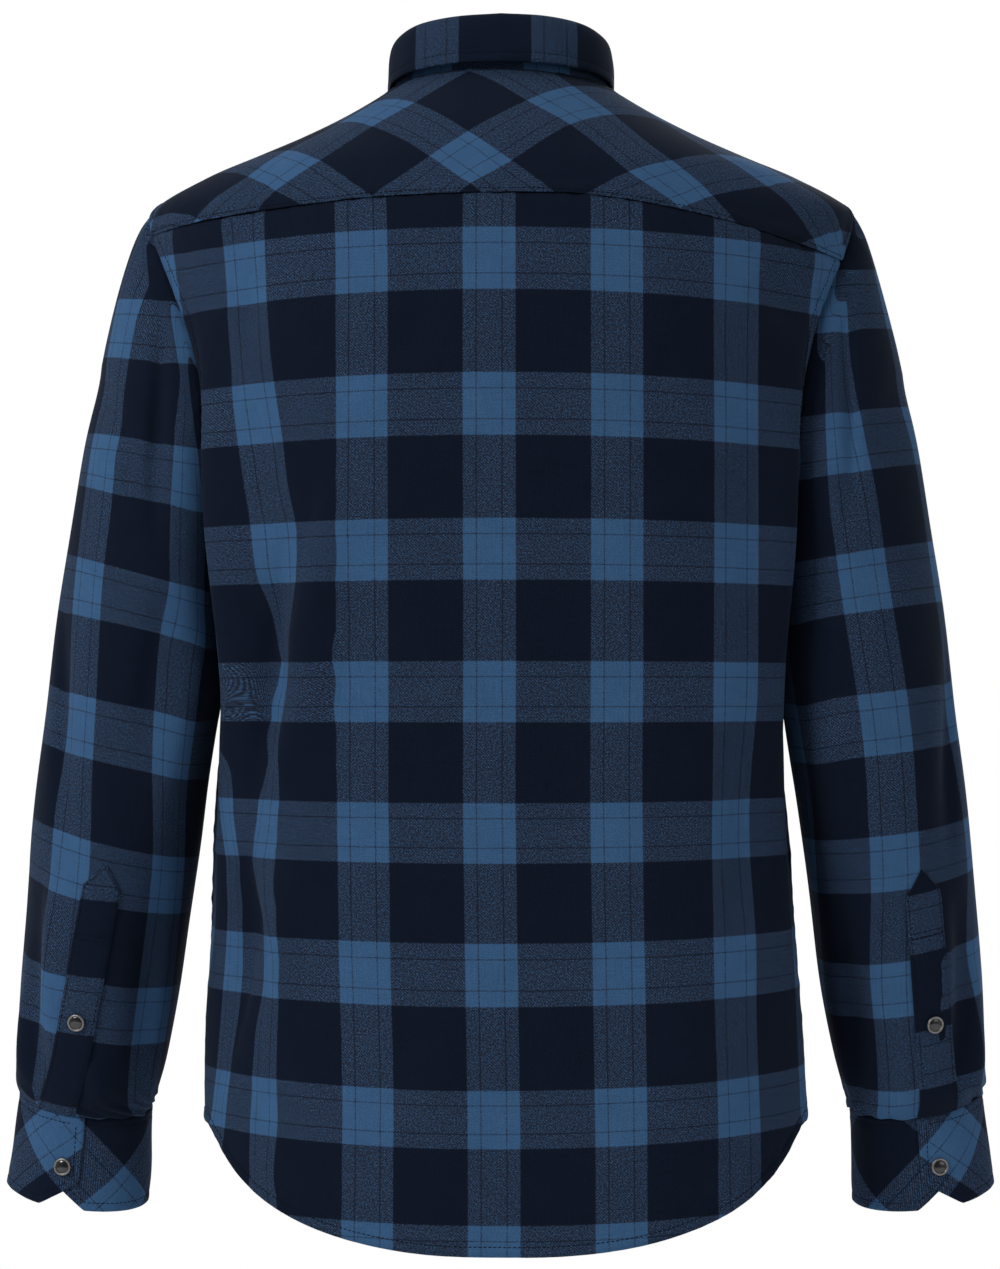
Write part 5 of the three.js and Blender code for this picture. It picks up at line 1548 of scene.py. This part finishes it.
sleeve_rows = []
for grid, facing_out in (
    (placket_left_points, placket_left_normals),
    (placket_right_points, placket_right_normals),
):
    for flip in (False, True):
        sleeve_rows.append(line_inside(grid, facing_out, 1, 2.0, flip))
    sleeve_rows.append(line_inside(grid, facing_out, 0, 2.0, True))
    for up in (125.0, 128.0):
        sleeve_rows.append(line_inside(grid, facing_out, 0, up))
sew("sleeve_stitches", sleeve_rows)

trim_rows = []
for grid, facing_out in ((cuff_left_points, cuff_left_normals), (cuff_right_points, cuff_right_normals)):
    for axis in (0, 1):
        for flip in (False, True):
            line, outs = line_inside(grid, facing_out, axis, 5.0, flip)
            trim_rows.append((line[3:-3], outs[3:-3]))
trim_rows.append(line_inside(fall_points, fall_normals, 0, FALL_STITCH))
for flip in (False, True):
    line, outs = line_inside(fall_points, fall_normals, 1, FALL_STITCH, flip)
    trim_rows.append((line[4:32], outs[4:32]))
for flip in (False, True):
    trim_rows.append(line_inside(stand_points, stand_normals, 0, 1.6, flip))
sew("trim_stitches", trim_rows)


# The floor, the light and the camera: a white floor far below, a white surround, one large soft
# lamp above the camera and two weaker ones beside it. The camera is level with the waist.
FLOOR, FLOOR_Z = 1.3, -0.95
floor_material = bpy.data.materials.new("Pale floor")
floor_material.use_nodes = True
floor_shader = floor_material.node_tree.nodes["Principled BSDF"]
floor_shader.inputs["Base Color"].default_value = (0.93, 0.93, 0.93, 1.0)
floor_shader.inputs["Roughness"].default_value = 0.9
floor_mesh = bpy.data.meshes.new("floor")
floor_corners = [(-FLOOR, -FLOOR, FLOOR_Z), (FLOOR, -FLOOR, FLOOR_Z), (FLOOR, FLOOR, FLOOR_Z), (-FLOOR, FLOOR, FLOOR_Z)]
floor_mesh.from_pydata(floor_corners, [], [(0, 1, 2, 3)])
floor_mesh.materials.append(floor_material)
floor = bpy.data.objects.new("floor", floor_mesh)
scene.collection.objects.link(floor)

surround = bpy.data.worlds.new("White surround")
surround.use_nodes = True
sky = surround.node_tree
facing = node(sky, "ShaderNodeSeparateXYZ", (sky.nodes.new("ShaderNodeTexCoord").outputs["Generated"],))
grey = math_node(sky, "MULTIPLY_ADD", facing.node.outputs[1], -0.65, 0.78, clamp=True)
sky.links.new(grey, sky.nodes["Background"].inputs["Strength"])
sky.nodes["Background"].inputs["Color"].default_value = (1.0, 1.0, 1.0, 1.0)
scene.world = surround
scene.view_settings.view_transform = "Standard"


def soft_lamp(name, place, target, size, power):
    data = bpy.data.lights.new(name, "AREA")
    data.shape = "SQUARE"
    data.size = size
    data.energy = power
    lamp = bpy.data.objects.new(name, data)
    scene.collection.objects.link(lamp)
    lamp.location = place
    aim = np.array(target) - np.array(place)
    tip = math.atan2(math.hypot(aim[0], aim[1]), -aim[2])
    lamp.rotation_euler = (tip, 0.0, math.atan2(aim[0], -aim[1]) + math.pi)


soft_lamp("Key lamp", (1.9, 2.0, 1.3), (0, 0, -0.35), 0.9, 75)
soft_lamp("Fill lamp", (-2.2, 2.2, 0.3), (0, 0, -0.4), 1.6, 12)
soft_lamp("Front lamp", (-0.8, -2.8, 1.0), (0, 0, -0.4), 1.8, 30)

CAMERA_AWAY = 2.8
EYE_LEVEL = -0.391
camera_data = bpy.data.cameras.new("Camera")
camera_data.sensor_width = 36.0
camera_data.lens = 121.5
camera = bpy.data.objects.new("Camera", camera_data)
scene.collection.objects.link(camera)
camera.location = (0.0007, CAMERA_AWAY, EYE_LEVEL)
camera.rotation_euler = (math.radians(90.743), 0.0, math.pi)
scene.camera = camera
